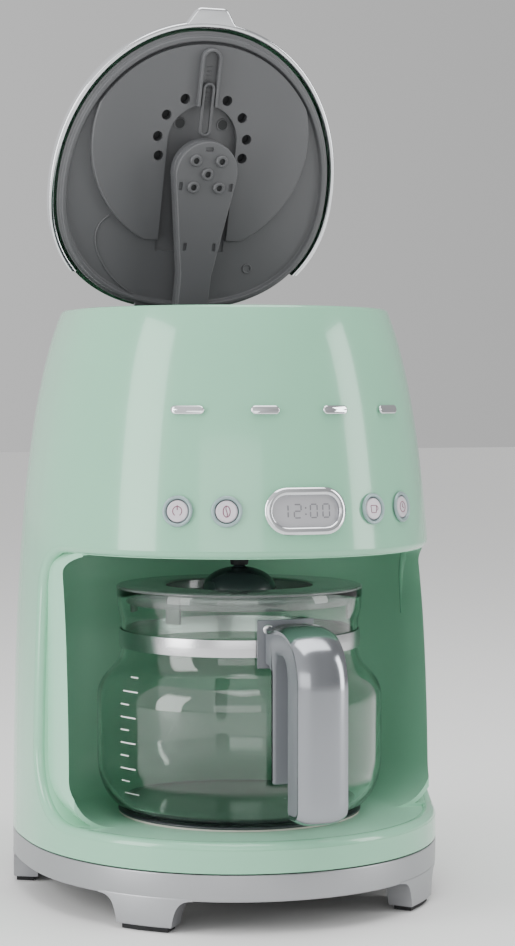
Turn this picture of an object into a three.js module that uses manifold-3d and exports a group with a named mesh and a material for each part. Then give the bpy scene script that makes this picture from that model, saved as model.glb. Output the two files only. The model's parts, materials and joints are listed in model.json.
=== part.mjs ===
// A retro drip coffee maker: millimetres, +Z up, the front faces -Y.
// The origin is on the floor, under the middle of the machine.
// Everything is drawn about the plan axis, a vertical line that the tapered body is built around,
// and one group then moves it so that the front and back lie equally far from the origin.

import * as THREE from 'three';
import { mergeVertices } from 'three/addons/utils/BufferGeometryUtils.js';
import Module from 'manifold-3d';

const wasm = await Module();
wasm.setup();

// ---------------------------------------------------------------- driving dimensions

const gap = 0.3; // between pieces that lie against each other
const slip = 0.5; // around a piece that slides or lifts out

// Body: a squared oval in plan, nearly upright sides and a shouldered top.
const baseHalfWidth = 121.6;
const topHalfWidth = 93.6;
const waistInset = 0.6; // how far the lower curve handle sits inside the base width
const waistHandle = 0.256; // heights of the side curve's two handles, as shares of the body height
const shoulderHandle = 0.773;
const ringTop = 33;
const bodyTop = 341;
const bodyWall = 2.8;
const bodyPlan = { front: 1.088, back: 1, frontPower: 2.05, backPower: 2.7 };

// Base ring and feet.
const ringBottom = 18;
const ringWall = 3;
const padHeight = 2.7;
const footDepth = 14;
const footTopWidth = 58;
const footToeWidth = 33;
const frontFootAngle = -46.6; // degrees from +X, mirrored for the left side
const rearFootAngle = 25.7;
const panThickness = 2.5;
const ventCount = 7;
const ventPitch = 12;
const ventLength = 44;
const screwInset = 22; // screws sit this far in from the ring's outside
const screwHole = 2.2;

// Bay: the C-shaped opening for the carafe.
const bayFloor = 48;
const bayLip = 2; // the shell stands this much above the floor
const bayTop = 202;
const bayEdge = -12; // where the side walls of the shell end
const bayLowRadius = 39;
const bayHighRadius = 24;
const bayHalfWidth = 111;
const linerWall = 2.5;
const linerRim = 4;
const linerHighRadius = 9;

// Warming plate and what lies under it.
const brewY = -22.5; // carafe, basket and plate share this axis
const plateRadius = 71;
const plateMargin = 14; // level floor left round the plate, at the sides
const bayBehindPlate = 19.5;
const bayBack = brewY + plateRadius + bayBehindPlate;
const linerLowRadius = bayHalfWidth - plateRadius - plateMargin;
const plateRise = 2.5;
const plateWall = 1.2;
const heaterRadius = 44;
const heaterTube = 4;
const heaterEnd = { x: 20, y: 33 }; // where its two ends point back

// Carafe: heights above the floor that the machine stands on.
const carafeBase = 51;
const glassWall = 2.4;
const bellyRadius = 83.3;
const bellyLow = 80.6;
const bellyHigh = 115.3;
const bellyRound = 19; // the glass rounds in this far under the belly
const collarRadius = 69.4;
const collarLow = 144.8;
const collarHigh = 154.7;
const mouthRadius = 72;
const mouthTop = 178;
const bandThickness = 0.9;
const lidPlateThickness = 2;
const lidSkirtDepth = 8;
const lidRecessRadius = 43;
const lidRecessDepth = 6;
const domeRadius = 22;
const domeTop = 191;

// Handle, measured outwards from the carafe axis.
const handleWidth = 29;
const handleReach = 130;
const handleTop = 166;
const handleFoot = 60;
const gripThickness = 22;
const coverThickness = 2.4;
const strapThickness = 3.2;
const strapFoot = 77;
const bracketWidth = 33;
const bracketHeight = 27;

// Brewing: deck, basket, filter and drip stop.
const deckDrop = 28; // below the top rim
const deckThickness = 3;
const basketRimRadius = 66;
const basketMouthRadius = 60;
const basketFootRadius = 31;
const basketWall = 2;
const outletRadius = 11;
const filterWall = 1;
const stopStemRadius = 3;
const stopTipRadius = 7;

// Water tank.
const tankHalfWidth = 74;
const tankWall = 2;
const tankFloor = 70;
const tankFront = 50; // of the wide upper part, behind the basket
const fillWidth = 46;
const fillDepth = 22;
const nippleX = 30; // outlet under the tank, left of the middle
const nippleY = bayBack + 18;
const nippleLength = 6;
const valveLength = 14;
const hoseRadius = 4;
const hoseY = bayBack - 5; // of the hot riser, in the corner behind the bay

// Lid, drawn closed; the group turns it open.
const lidHingeY = 79;
const lidHingeRise = 1; // above the top rim
const lidOpenAngle = 72.5;
const lidHalfWidth = 91;
const lidPlan = { front: 1.12, back: 0.86, frontPower: 2.05, backPower: 2.3 };
const lidHeight = 20;
const lidWall = 2.4;
const trimHeight = 4;
const trimWidth = 3.2;
const tabReach = 11;
const tabBaseWidth = 38;
const tabTipWidth = 20;
const discRadius = 70.5;
const discY = -32;
const discFlat = 63;
const discStep = 4;
const recessRadius = 22.5;
const recessDepth = 5;
const linerPlate = 2;
const steamHoleRadius = 3.15;
const steamRingRadius = 29;
const railWidth = 13;
const railNear = 133; // from the hinge
const railFar = 162;
const railDepth = 4;
const knuckleX = [22, 32]; // each hinge knuckle of the lid, across
const knuckleRadius = 4;
const pinRadius = 2;

// Spray arm.
const armPivotY = 71.4;
const armPivotDrop = 11; // below the top rim
const armOpenAngle = 71.6;
const armHeadY = -31.5;
const armHeadRadius = 20;
const armThickness = 13;
const armRootWidth = 20;
const armSplit = 6; // height of the nozzle half
const nozzleRadius = 3.7;
const nozzleBore = 1.9;
const nozzlePitch = 8.3;
const neckShare = 0.33; // of the reach, where the arm starts to widen towards the head
const armWall = 1.8;
const linkWidth = 8;
const linkThickness = 3;
const linkTravel = 16.7; // how far the arm's head moves along the lid as it closes

// Cord gland in the back wall.
const glandRadius = 7;
const glandBore = 3.4;
const glandHeight = 52;
const glandStandout = 2.2;

// Controls on the front.
const controlHeight = 228;
const displayWidth = 48;
const displayHeight = 26;
const bezelRise = 2.4;
const collarOuterRadius = 8.65;
const capRadius = 6.1;
const buttonSpots = [-66.3, -43, 43, 66.3];
const badgeHeight = 283;
const badgeSpots = [-59.9, -20.7, 20.7, 59.9];
const badgeWidth = 15.7;
const badgeBarHeight = 5;
const badgeRise = 2;

// Circuit boards.
const boardLow = 24; // of the power board in the base
const boardThickness = 1.6;
const boardInset = 16; // of the control board behind the front wall
const boardHalf = { x: 78, z: 16 };

const hingeZ = bodyTop + lidHingeRise;
const deckTop = bodyTop - deckDrop;
const armPivotZ = bodyTop - armPivotDrop;
const foremost = Math.max(handleReach - brewY, bodyPlan.front * baseHalfWidth);
const rearmost = bodyPlan.back * baseHalfWidth + glandStandout;
const planShift = (foremost - rearmost) / 2;

// ---------------------------------------------------------------- solids and meshes

// A closed three.js geometry as a manifold solid, faces pointing out.
function solid(geometry) {
  const bare = new THREE.BufferGeometry().setAttribute('position', geometry.getAttribute('position'));
  if (geometry.index) bare.setIndex(geometry.index);
  const merged = mergeVertices(bare, 1e-4);
  const position = merged.getAttribute('position').array;
  const corners = [];
  for (let i = 0; i < merged.index.count; i += 3) {
    const [a, b, c] = merged.index.array.slice(i, i + 3);
    if (a !== b && b !== c && c !== a) corners.push(a, b, c);
  }
  const build = (triVerts) => new wasm.Manifold(new wasm.Mesh({
    numProp: 3,
    vertProperties: new Float32Array(position),
    triVerts: new Uint32Array(triVerts),
  }));
  const made = build(corners);
  return made.volume() > 0 ? made : build(corners.reverse());
}

// A manifold solid back as a three.js geometry.
function geometryOf(made) {
  const mesh = made.getMesh();
  const geometry = new THREE.BufferGeometry();
  geometry.setAttribute('position', new THREE.BufferAttribute(new Float32Array(mesh.vertProperties), 3));
  geometry.setIndex(new THREE.BufferAttribute(new Uint32Array(mesh.triVerts), 1));
  geometry.computeVertexNormals();
  return geometry;
}

const joined = (...solids) => solids.reduce((all, next) => all.add(next));
const cut = (body, ...tools) => tools.reduce((all, next) => all.subtract(next), body);

// Adds a named piece to a group.
function piece(group, name, made, look) {
  const mesh = new THREE.Mesh(geometryOf(made), new THREE.MeshStandardMaterial(look));
  mesh.name = name;
  group.add(mesh);
  return mesh;
}

// ---------------------------------------------------------------- shapes

const vec = (x, y) => new THREE.Vector2(x, y);
const radians = THREE.MathUtils.degToRad;

// Turns a profile of (radius, height) points about the Z axis.
function turned(profile, segments = 32) {
  return new THREE.LatheGeometry(profile, segments).rotateX(Math.PI / 2);
}

// A tube-like ring with a rectangular section.
function ring(inner, outer, low, high, segments = 32) {
  const section = [vec(inner, low), vec(outer, low), vec(outer, high), vec(inner, high), vec(inner, low)];
  return turned(section, segments);
}

function disc(radius, low, high, segments = 32) {
  return turned([vec(0, low), vec(radius, low), vec(radius, high), vec(0, high)], segments);
}

// A disc whose rims are rounded.
function roundDisc(radius, low, high, edge, segments = 32) {
  const steps = [0, 45, 90].map(radians);
  const lower = steps.map((a) => vec(radius - edge + edge * Math.sin(a), low + edge - edge * Math.cos(a)));
  const upper = steps.map((a) => vec(radius - edge + edge * Math.cos(a), high - edge + edge * Math.sin(a)));
  return turned([vec(0, low), ...lower, ...upper, vec(0, high)], segments);
}

function block(xs, ys, zs) {
  const box = new THREE.BoxGeometry(xs[1] - xs[0], ys[1] - ys[0], zs[1] - zs[0]);
  return box.translate((xs[0] + xs[1]) / 2, (ys[0] + ys[1]) / 2, (zs[0] + zs[1]) / 2);
}

function rod(radius, length, segments = 16) {
  return new THREE.CylinderGeometry(radius, radius, length, segments);
}

// Side-view outline (y, z) drawn out along X, centred on x = 0.
function acrossX(outline, width, options = {}) {
  const bevel = options.bevel || 0;
  const drawn = new THREE.ExtrudeGeometry(outline, {
    depth: width - 2 * bevel,
    bevelEnabled: bevel > 0,
    bevelThickness: bevel,
    bevelSize: bevel,
    bevelOffset: -bevel,
    bevelSegments: 2,
    curveSegments: options.curveSegments || 8,
  });
  return drawn.translate(0, 0, bevel - width / 2).rotateX(Math.PI / 2).rotateZ(Math.PI / 2);
}

// Front-view outline (x, z) drawn out along Y, from y = from to y = to.
function acrossY(outline, from, to, curveSegments = 8) {
  const drawn = new THREE.ExtrudeGeometry(outline, { depth: to - from, bevelEnabled: false, curveSegments });
  return drawn.rotateX(Math.PI / 2).translate(0, to, 0);
}

// Plan outline (x, y) drawn up from low to high.
function upwards(outline, low, high, curveSegments = 8) {
  const drawn = new THREE.ExtrudeGeometry(outline, { depth: high - low, bevelEnabled: false, curveSegments });
  return drawn.translate(0, 0, low);
}

// A tube of radius r along a route of points.
function tubeAlong(points, radius, steps) {
  const sides = 8;
  const section = new THREE.Shape();
  section.moveTo(radius, 0);
  for (let i = 1; i < sides; i++) {
    const angle = 2 * Math.PI * i / sides;
    section.lineTo(radius * Math.cos(angle), radius * Math.sin(angle));
  }
  const extrudePath = new THREE.CatmullRomCurve3(points.map((p) => new THREE.Vector3(...p)));
  return new THREE.ExtrudeGeometry(section, { steps, extrudePath, bevelEnabled: false });
}

function roundedRectangle(width, height, radius) {
  const [x, y] = [width / 2, height / 2];
  const outline = new THREE.Shape();
  outline.moveTo(-x + radius, -y);
  outline.lineTo(x - radius, -y);
  outline.absarc(x - radius, -y + radius, radius, -Math.PI / 2, 0);
  outline.lineTo(x, y - radius);
  outline.absarc(x - radius, y - radius, radius, 0, Math.PI / 2);
  outline.lineTo(-x + radius, y);
  outline.absarc(-x + radius, y - radius, radius, Math.PI / 2, Math.PI);
  outline.lineTo(-x, -y + radius);
  outline.absarc(-x + radius, -y + radius, radius, Math.PI, 1.5 * Math.PI);
  return outline;
}

// ---------------------------------------------------------------- the tapered, squared-oval body

// Point of a squared oval of half width 1, at an angle from +X.
function ovalPoint(cosine, sine, plan) {
  const power = 2 / (sine < 0 ? plan.frontPower : plan.backPower);
  const reach = sine < 0 ? plan.front : plan.back;
  return vec(
    Math.sign(cosine) * Math.abs(cosine) ** power,
    reach * Math.sign(sine) * Math.abs(sine) ** power,
  );
}

// A sine or cosine that should be zero, as zero, so that the seam of a turned shape stays closed.
const tidy = (value) => (Math.abs(value) < 1e-6 ? 0 : value);

// Squares off a round, turned geometry into a plan.
function squared(geometry, plan = bodyPlan) {
  const position = geometry.getAttribute('position');
  for (let i = 0; i < position.count; i++) {
    const [x, y] = [position.getX(i), position.getY(i)];
    const radius = Math.hypot(x, y);
    if (radius < 1e-6) continue;
    const point = ovalPoint(tidy(x / radius), tidy(y / radius), plan).multiplyScalar(radius);
    position.setXY(i, point.x, point.y);
  }
  return geometry;
}

// Half width of the body against height, a curve with upright sides and a rounded shoulder.
const bodyHeight = bodyTop - ringTop;
const bodyCurve = new THREE.CubicBezierCurve(
  vec(baseHalfWidth, ringTop),
  vec(baseHalfWidth - waistInset, ringTop + waistHandle * bodyHeight),
  vec(baseHalfWidth, ringTop + shoulderHandle * bodyHeight),
  vec(topHalfWidth, bodyTop),
);

// The body is drawn straight between a few heights on that curve, and so is all that follows it.
const bodyLevels = bodyCurve.getPoints(8);

function bodyHalfWidth(z) {
  const next = bodyLevels.findIndex((level) => level.y >= z);
  if (next < 0) return topHalfWidth;
  if (next === 0) return baseHalfWidth;
  const [below, above] = [bodyLevels[next - 1], bodyLevels[next]];
  return THREE.MathUtils.mapLinear(z, below.y, above.y, below.x, above.x);
}

// Distance of the front face from the plan axis, at a place across and up.
function frontFace(x, z) {
  const half = bodyHalfWidth(z);
  const share = 1 - Math.abs(x / half) ** bodyPlan.frontPower;
  return -bodyPlan.front * half * share ** (1 / bodyPlan.frontPower);
}

// A frame on the front surface whose -Y looks straight out of the wall.
function frontFrame(x, z) {
  const step = 0.5;
  const across = (frontFace(x + step, z) - frontFace(x - step, z)) / (2 * step);
  const up = (frontFace(x, z + step) - frontFace(x, z - step)) / (2 * step);
  const inwards = new THREE.Vector3(-across, 1, -up).normalize();
  const turn = new THREE.Quaternion().setFromUnitVectors(new THREE.Vector3(0, 1, 0), inwards);
  return new THREE.Matrix4().makeRotationFromQuaternion(turn).setPosition(x, frontFace(x, z), z);
}

// The body's form, drawn in by an inset, between two heights.
function bodyForm(inset, low, high) {
  const between = bodyLevels.map((level) => level.y).filter((z) => z > low + 1 && z < high - 1);
  const side = [low, ...between, high].map((z) => vec(bodyHalfWidth(z) - inset, z));
  return squared(turned([vec(0, low), ...side, vec(0, high)], 40));
}

// ---------------------------------------------------------------- looks

const looks = {
  green: { color: 0xaecbbd, roughness: 0.25, metalness: 0 },
  bayGreen: { color: 0x9cc3af, roughness: 0.4, metalness: 0 },
  silver: { color: 0xb4b5b8, roughness: 0.4, metalness: 0.6 },
  chrome: { color: 0xe0e2e6, roughness: 0.08, metalness: 1 },
  steel: { color: 0xc8c9cc, roughness: 0.3, metalness: 1 },
  darkSteel: { color: 0x55575a, roughness: 0.45, metalness: 0.8 },
  grey: { color: 0x6b6b6d, roughness: 0.55, metalness: 0 },
  lightGrey: { color: 0x8f9195, roughness: 0.45, metalness: 0 },
  black: { color: 0x242628, roughness: 0.6, metalness: 0 },
  slate: { color: 0x2b3436, roughness: 0.35, metalness: 0 },
  rubber: { color: 0x1c1d1f, roughness: 0.85, metalness: 0 },
  silicone: { color: 0xd9d6cc, roughness: 0.6, metalness: 0 },
  glass: { color: 0xe9f4ef, roughness: 0.02, metalness: 0, transparent: true, opacity: 0.3 },
  tankPlastic: { color: 0xdfe6e6, roughness: 0.3, metalness: 0, transparent: true, opacity: 0.6 },
  smoke: { color: 0xa9abad, roughness: 0.15, metalness: 0, transparent: true, opacity: 0.6 },
  cap: { color: 0xc9c3ca, roughness: 0.45, metalness: 0.2 },
  board: { color: 0x2f6b45, roughness: 0.6, metalness: 0 },
};

const machine = new THREE.Group(); // everything, drawn about the plan axis
machine.position.y = planShift;

// ---------------------------------------------------------------- base

const ringInner = baseHalfWidth - ringWall;

// A wall that follows the base's plan, inset from it, with some depth.
function baseWall(inset, depth, low, high) {
  return squared(ring(baseHalfWidth - inset - depth, baseHalfWidth - inset, low, high, 40));
}

// Places something drawn along +X at the plan's edge, in a direction from the axis.
function atEdge(geometry, angle, inset) {
  const direction = ovalPoint(Math.cos(radians(angle)), Math.sin(radians(angle)), bodyPlan);
  const point = direction.multiplyScalar(baseHalfWidth - inset);
  const heading = Math.atan2(point.y, point.x);
  return geometry.rotateZ(heading).translate(point.x, point.y, 0);
}

// The sides of a foot sweep in from the ring to the toe in an S.
function footOutline() {
  const [top, toe] = [footTopWidth / 2, footToeWidth / 2];
  const bend = (top - toe) * 0.6;
  const outline = new THREE.Shape();
  outline.moveTo(-toe, padHeight);
  outline.lineTo(toe, padHeight);
  outline.bezierCurveTo(toe + 2, ringBottom - 3, top - bend, ringBottom, top, ringBottom);
  outline.lineTo(top, ringBottom + 1);
  outline.lineTo(-top, ringBottom + 1);
  outline.lineTo(-top, ringBottom);
  outline.bezierCurveTo(bend - top, ringBottom, -toe - 2, ringBottom - 3, -toe, padHeight);
  return outline;
}

const footAngles = {
  front_right: frontFootAngle,
  front_left: -180 - frontFootAngle,
  rear_right: rearFootAngle,
  rear_left: 180 - rearFootAngle,
};

function baseRing() {
  let made = solid(baseWall(0, ringWall, ringBottom, ringTop - gap));
  const legBlank = solid(baseWall(0, footDepth, padHeight, ringBottom - gap)).add(
    solid(baseWall(0, ringWall, ringBottom - 1, ringBottom + 1)),
  );
  for (const angle of Object.values(footAngles)) {
    const outline = acrossX(footOutline(), 80);
    made = made.add(legBlank.intersect(solid(atEdge(outline, angle, footDepth))));
    const bossLow = ringBottom + panThickness + gap;
    const boss = cut(
      joined(
        solid(disc(5, bossLow, ringTop - 3, 12).translate(-screwInset, 0, 0)),
        solid(block([-screwInset + 3, -ringWall / 2], [-1.5, 1.5], [bossLow, ringTop - 3])),
      ),
      solid(disc(1.9, bossLow - 1, ringTop - 6, 8).translate(-screwInset, 0, 0)),
    );
    made = made.add(solid(atEdge(geometryOf(boss), angle, 0)));
  }
  return made;
}

function footPad(angle) {
  const blank = solid(baseWall(2, footDepth - 4, 0, padHeight - gap));
  const width = (footToeWidth - 5) / 2;
  const toe = block([-footDepth, 2 * footDepth], [-width, width], [-1, padHeight]);
  return blank.intersect(solid(atEdge(toe, angle, footDepth)));
}

// Bottom cover with vent slots and a hole at each screw.
function basePan() {
  const inset = ringWall + gap;
  let made = solid(squared(disc(baseHalfWidth - inset, ringBottom, ringBottom + panThickness, 40)));
  for (let i = 0; i < ventCount; i++) {
    const x = (i - (ventCount - 1) / 2) * ventPitch;
    const ys = [-ventLength / 2, ventLength / 2];
    made = made.subtract(solid(block([x - 2, x + 2], ys, [ringBottom - 1, ringTop])));
  }
  for (const angle of Object.values(footAngles)) {
    const hole = disc(screwHole, ringBottom - 1, ringTop, 8).translate(-screwInset, 0, 0);
    made = made.subtract(solid(atEdge(hole, angle, 0)));
  }
  return made;
}

function baseScrew(angle) {
  const headTop = ringBottom - gap;
  const head = roundDisc(4, headTop - 2.4, headTop, 0.8, 12).translate(-screwInset, 0, 0);
  const shank = disc(1.6, headTop - 0.5, ringTop - 8, 8).translate(-screwInset, 0, 0);
  const slot = block([-screwInset - 2.4, -screwInset + 2.4], [-0.4, 0.4], [headTop - 3, headTop - 1.6]);
  return solid(atEdge(geometryOf(cut(joined(solid(head), solid(shank)), solid(slot))), angle, 0));
}

piece(machine, 'base_ring', baseRing(), looks.silver);
piece(machine, 'base_pan', basePan(), looks.black);
for (const [corner, angle] of Object.entries(footAngles)) {
  piece(machine, `foot_pad_${corner}`, footPad(angle), looks.rubber);
  piece(machine, `base_screw_${corner}`, baseScrew(angle), looks.darkSteel);
}

// ---------------------------------------------------------------- housing and bay

// The C-shaped opening in side view, grown outwards all round.
function bayOutline(grow) {
  const [low, high, edge] = [bayFloor + bayLip - grow, bayTop + grow, bayEdge + grow];
  const [lowRadius, highRadius] = [bayLowRadius + grow, bayHighRadius + grow];
  const outline = new THREE.Shape();
  outline.moveTo(-2 * baseHalfWidth, low);
  outline.lineTo(edge - lowRadius, low);
  outline.absarc(edge - lowRadius, low + lowRadius, lowRadius, -Math.PI / 2, 0);
  outline.lineTo(edge, high - highRadius);
  outline.absarc(edge - highRadius, high - highRadius, highRadius, 0, Math.PI / 2);
  outline.lineTo(-2 * baseHalfWidth, high);
  return outline;
}

const bayCut = (grow) => solid(acrossX(bayOutline(grow), 4 * baseHalfWidth, { curveSegments: 12 }));

// Space of the bay behind the opening: a rounded scoop, grown outwards all round.
function bayScoop(grow) {
  const half = bayHalfWidth + grow;
  const [low, high] = [bayFloor - grow, bayTop + grow];
  const profile = [vec(0, low)];
  for (let a = 0; a <= 90; a += 22.5) {
    const r = linerLowRadius + grow;
    profile.push(vec(half - r + r * Math.sin(radians(a)), low + r - r * Math.cos(radians(a))));
  }
  for (let a = 0; a <= 90; a += 30) {
    const r = linerHighRadius + grow;
    profile.push(vec(half - r + r * Math.cos(radians(a)), high - r + r * Math.sin(radians(a))));
  }
  profile.push(vec(0, high));
  const depth = (bayBack - bayEdge + grow) / half;
  const scoopPlan = { front: 1.4, back: depth, frontPower: 8, backPower: 2.8 };
  return squared(turned(profile, 32), scoopPlan).translate(0, bayEdge, 0);
}

const displayHole = { width: displayWidth - 5, height: displayHeight - 5 };
const collarHole = collarOuterRadius - 1;

// Holes through the front wall for the display and the buttons.
function controlHoles() {
  const holes = [];
  const [near, far] = [-2 * baseHalfWidth, -baseHalfWidth / 3];
  const { width, height } = displayHole;
  const oval = roundedRectangle(width, height, height / 2 - 0.1);
  holes.push(solid(acrossY(oval, near, far).translate(0, 0, controlHeight)));
  for (const x of buttonSpots) {
    holes.push(solid(rod(collarHole, 30, 20).applyMatrix4(frontFrame(x, controlHeight))));
  }
  return holes;
}

function housingShell() {
  const outer = solid(bodyForm(0, ringTop, bodyTop));
  const inner = solid(bodyForm(bodyWall, ringTop - 1, bodyTop + 1));
  const gland = solid(rod(glandRadius + gap, 60, 16).translate(0, baseHalfWidth, glandHeight));
  return cut(outer, inner, bayCut(0), gland, ...controlHoles());
}

const outletHole = outletRadius + 2;
const plateHole = plateRadius - 1.5; // the plate's rim covers the edge of its hole
const plateSkirt = plateHole - 1;

function bayLiner() {
  const inside = solid(bodyForm(bodyWall + gap, ringTop, bodyTop - 20));
  const rim = bayCut(linerRim).subtract(bayCut(gap));
  const wrap = solid(bayScoop(linerWall)).add(rim.intersect(solid(
    block([-200, 200], [-200, bayEdge + linerRim], [bayFloor - linerWall, bayTop + linerRim]),
  )));
  const openFront = solid(block([-200, 200], [-300, bayEdge - bayLowRadius], [bayFloor, bayTop]));
  const plateBore = solid(disc(plateHole, bayFloor - 10, bayFloor + 1, 32).translate(0, brewY, 0));
  const outlet = solid(disc(outletHole, bayTop - 5, bayTop + 10, 24).translate(0, brewY, 0));
  return cut(wrap.intersect(inside), solid(bayScoop(0)), openFront, plateBore, outlet);
}

piece(machine, 'housing_shell', housingShell(), looks.green);
piece(machine, 'bay_liner', bayLiner(), looks.bayGreen);

// Rubber gland with a flange outside the back wall; the cord would pass through its bore.
function cordGland() {
  const outside = baseHalfWidth + gap;
  const barrel = rod(glandRadius, bodyWall + 8, 16).translate(0, outside - (bodyWall + 8) / 2, 0);
  const flangeDepth = glandStandout - gap;
  const flange = rod(glandRadius + 3, flangeDepth, 16).translate(0, outside + flangeDepth / 2, 0);
  const bore = rod(glandBore, 80, 12).translate(0, outside, 0);
  return cut(joined(solid(barrel), solid(flange)), solid(bore));
}
piece(machine, 'cord_gland', cordGland(), looks.rubber).position.z = glandHeight;

// ---------------------------------------------------------------- warming plate and water heater

const plateUnder = bayFloor + plateRise - plateWall;

function warmingPlate() {
  const top = roundDisc(plateRadius, plateUnder, bayFloor + plateRise, 0.5, 32);
  const skirt = ring(plateSkirt - 1.4, plateSkirt, bayFloor - 5, plateUnder + 0.5, 32);
  return joined(solid(top), solid(skirt));
}

const heaterZ = plateUnder - heaterTube - slip;
const heaterEndZ = heaterZ - 9;

// A nearly closed ring of tube whose two ends dip under the floor towards the back.
function heater() {
  const route = [[heaterEnd.x, heaterEnd.y, heaterEndZ], [heaterEnd.x, heaterEnd.y - 6, heaterEndZ]];
  for (let angle = 60; angle >= -240; angle -= 15) {
    const a = radians(angle);
    route.push([heaterRadius * Math.cos(a), brewY + heaterRadius * Math.sin(a), heaterZ]);
  }
  route.push([-heaterEnd.x, heaterEnd.y - 6, heaterEndZ], [-heaterEnd.x, heaterEnd.y, heaterEndZ]);
  return solid(tubeAlong(route, heaterTube, 32));
}

const hoseX = tankHalfWidth + hoseRadius + 2; // the riser passes beside the tank

function coldHose() {
  const start = heaterEnd.y + valveLength + 2;
  return solid(tubeAlong([
    [-heaterEnd.x, start, heaterEndZ],
    [-heaterEnd.x, start + 14, heaterEndZ],
    [-heaterEnd.x - 5, 82, heaterEndZ + 4],
    [-nippleX, nippleY, heaterEndZ + 16],
    [-nippleX, nippleY, tankFloor - nippleLength - gap],
  ], hoseRadius, 20));
}

function hotHose() {
  const pivot = armPivotZ;
  return solid(tubeAlong([
    [heaterEnd.x, heaterEnd.y + 5, heaterEndZ],
    [heaterEnd.x + 3, heaterEnd.y + 18, heaterEndZ],
    [heaterEnd.x + 30, hoseY, heaterEndZ],
    [hoseX - 4, hoseY, heaterEndZ + 8],
    [hoseX, hoseY, heaterEndZ + 30],
    [hoseX, hoseY, (heaterEndZ + deckTop) / 2],
    [hoseX, hoseY, deckTop - 20],
    [hoseX, hoseY, deckTop],
    [hoseX - 10, hoseY + 3, pivot - 4],
    [hoseX / 2, armPivotY, pivot],
    [armRootWidth / 2 + 6, armPivotY, pivot],
  ], hoseRadius, 32));
}

const tankTop = deckTop - deckThickness - gap;

// The tank is wide beside and behind the basket, and a slim column behind the bay.
function tankForm(inset, low) {
  const fit = solid(bodyForm(bodyWall + 2 + inset, low - 1, tankTop + 20));
  const half = tankHalfWidth - inset;
  const wideLow = bayTop + linerRim + 6;
  const top = inset ? tankTop + 10 : tankTop;
  const wide = solid(block([-half, half], [tankFront + inset, 200], [wideLow + inset, top]));
  const column = solid(block([-half, half], [bayBack + linerWall + 1 + inset, 200], [low, top]));
  return fit.intersect(wide.add(column));
}

function waterTank() {
  const nipple = disc(3, tankFloor - nippleLength, tankFloor + 1, 12).translate(-nippleX, nippleY, 0);
  const bore = disc(1.8, tankFloor - nippleLength - 1, tankFloor + 5, 12).translate(-nippleX, nippleY, 0);
  const walls = tankForm(0, tankFloor).subtract(tankForm(tankWall, tankFloor + tankWall));
  return cut(walls.add(solid(nipple)), solid(bore));
}

// Deck under the lid, with the basket hole, the filling mouth and the riser's hole.
const deckHole = basketMouthRadius + basketWall + slip;

function topDeck() {
  const plate = solid(bodyForm(bodyWall + slip, deckTop - deckThickness, deckTop));
  const basket = solid(disc(deckHole, deckTop - 10, deckTop + 5, 32).translate(0, brewY, 0));
  const mouth = upwards(roundedRectangle(fillWidth, fillDepth, 6), deckTop - 10, deckTop + 5);
  const fillY = tankFront + tankWall + fillDepth / 2 + 2;
  const fill = solid(mouth.translate(fillWidth / 2 + 5 - tankHalfWidth, fillY, 0));
  const riser = solid(disc(hoseRadius + 2, deckTop - 10, deckTop + 5, 16).translate(hoseX, hoseY, 0));
  return cut(plate, basket, fill, riser);
}

piece(machine, 'warming_plate', warmingPlate(), looks.darkSteel).position.y = brewY;
const seal = ring(plateSkirt + gap, plateRadius - gap, bayFloor + 0.15, plateUnder - 0.15, 32);
piece(machine, 'plate_seal', solid(seal), looks.silicone).position.y = brewY;
piece(machine, 'heater', heater(), looks.steel);
const thermostat = joined(
  solid(roundDisc(8, plateUnder - 7, plateUnder - gap, 1, 12)),
  solid(block([-10, 10], [-2, 2], [plateUnder - 6, plateUnder - 5])),
);
piece(machine, 'thermostat', thermostat, looks.lightGrey).position.y = brewY;
const valve = solid(rod(5.5, valveLength, 16).translate(0, valveLength / 2 + heaterEnd.y + 1, 0));
piece(machine, 'check_valve', valve, looks.black).position.set(-heaterEnd.x, 0, heaterEndZ);
piece(machine, 'cold_hose', coldHose(), looks.silicone);
piece(machine, 'hot_hose', hotHose(), looks.silicone);
piece(machine, 'water_tank', waterTank(), looks.tankPlastic);
piece(machine, 'top_deck', topDeck(), looks.grey);
const powerBoard = joined(
  solid(block([34, 74], [64, 92], [boardLow, boardLow + boardThickness])),
  solid(block([40, 56], [70, 84], [boardLow + 1, boardLow + 5])),
  solid(block([60, 70], [70, 80], [boardLow + 1, boardLow + 4])),
);
piece(machine, 'power_board', powerBoard, looks.board);

// ---------------------------------------------------------------- controls

// A group on the front surface, in the wall's own frame.
function onFront(x, z) {
  const group = new THREE.Group();
  group.applyMatrix4(frontFrame(x, z));
  machine.add(group);
  return group;
}

// A layer that follows the front wall, between two insets from its outside.
function frontLayer(from, to) {
  const [low, high] = [bayTop + linerRim + 4, bodyTop - 2];
  return solid(bodyForm(from, low, high)).subtract(solid(bodyForm(to, low, high)));
}

const frontPrism = (outline, x, z) => (
  solid(acrossY(outline, -2 * baseHalfWidth, -topHalfWidth / 3, 5).translate(x, 0, z))
);

function oval(width, height) {
  return roundedRectangle(width, height, height / 2 - 0.05);
}

function displayBezel() {
  const outer = frontPrism(oval(displayWidth, displayHeight), 0, controlHeight);
  const inner = frontPrism(oval(displayWidth - 9, displayHeight - 9), 0, controlHeight);
  return frontLayer(-bezelRise, -gap).intersect(outer).subtract(inner);
}

function displayLens() {
  const { width, height } = displayHole;
  return frontLayer(0, bodyWall - 0.8).intersect(
    frontPrism(oval(width - 2 * gap, height - 2 * gap), 0, controlHeight),
  );
}

// The board bends round behind the front wall and carries a switch behind each button.
function controlBoard() {
  const zs = [controlHeight - boardHalf.z, controlHeight + boardHalf.z];
  const area = block([-boardHalf.x, boardHalf.x], [-200, -40], zs);
  return frontLayer(boardInset, boardInset + boardThickness).intersect(solid(area));
}

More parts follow.
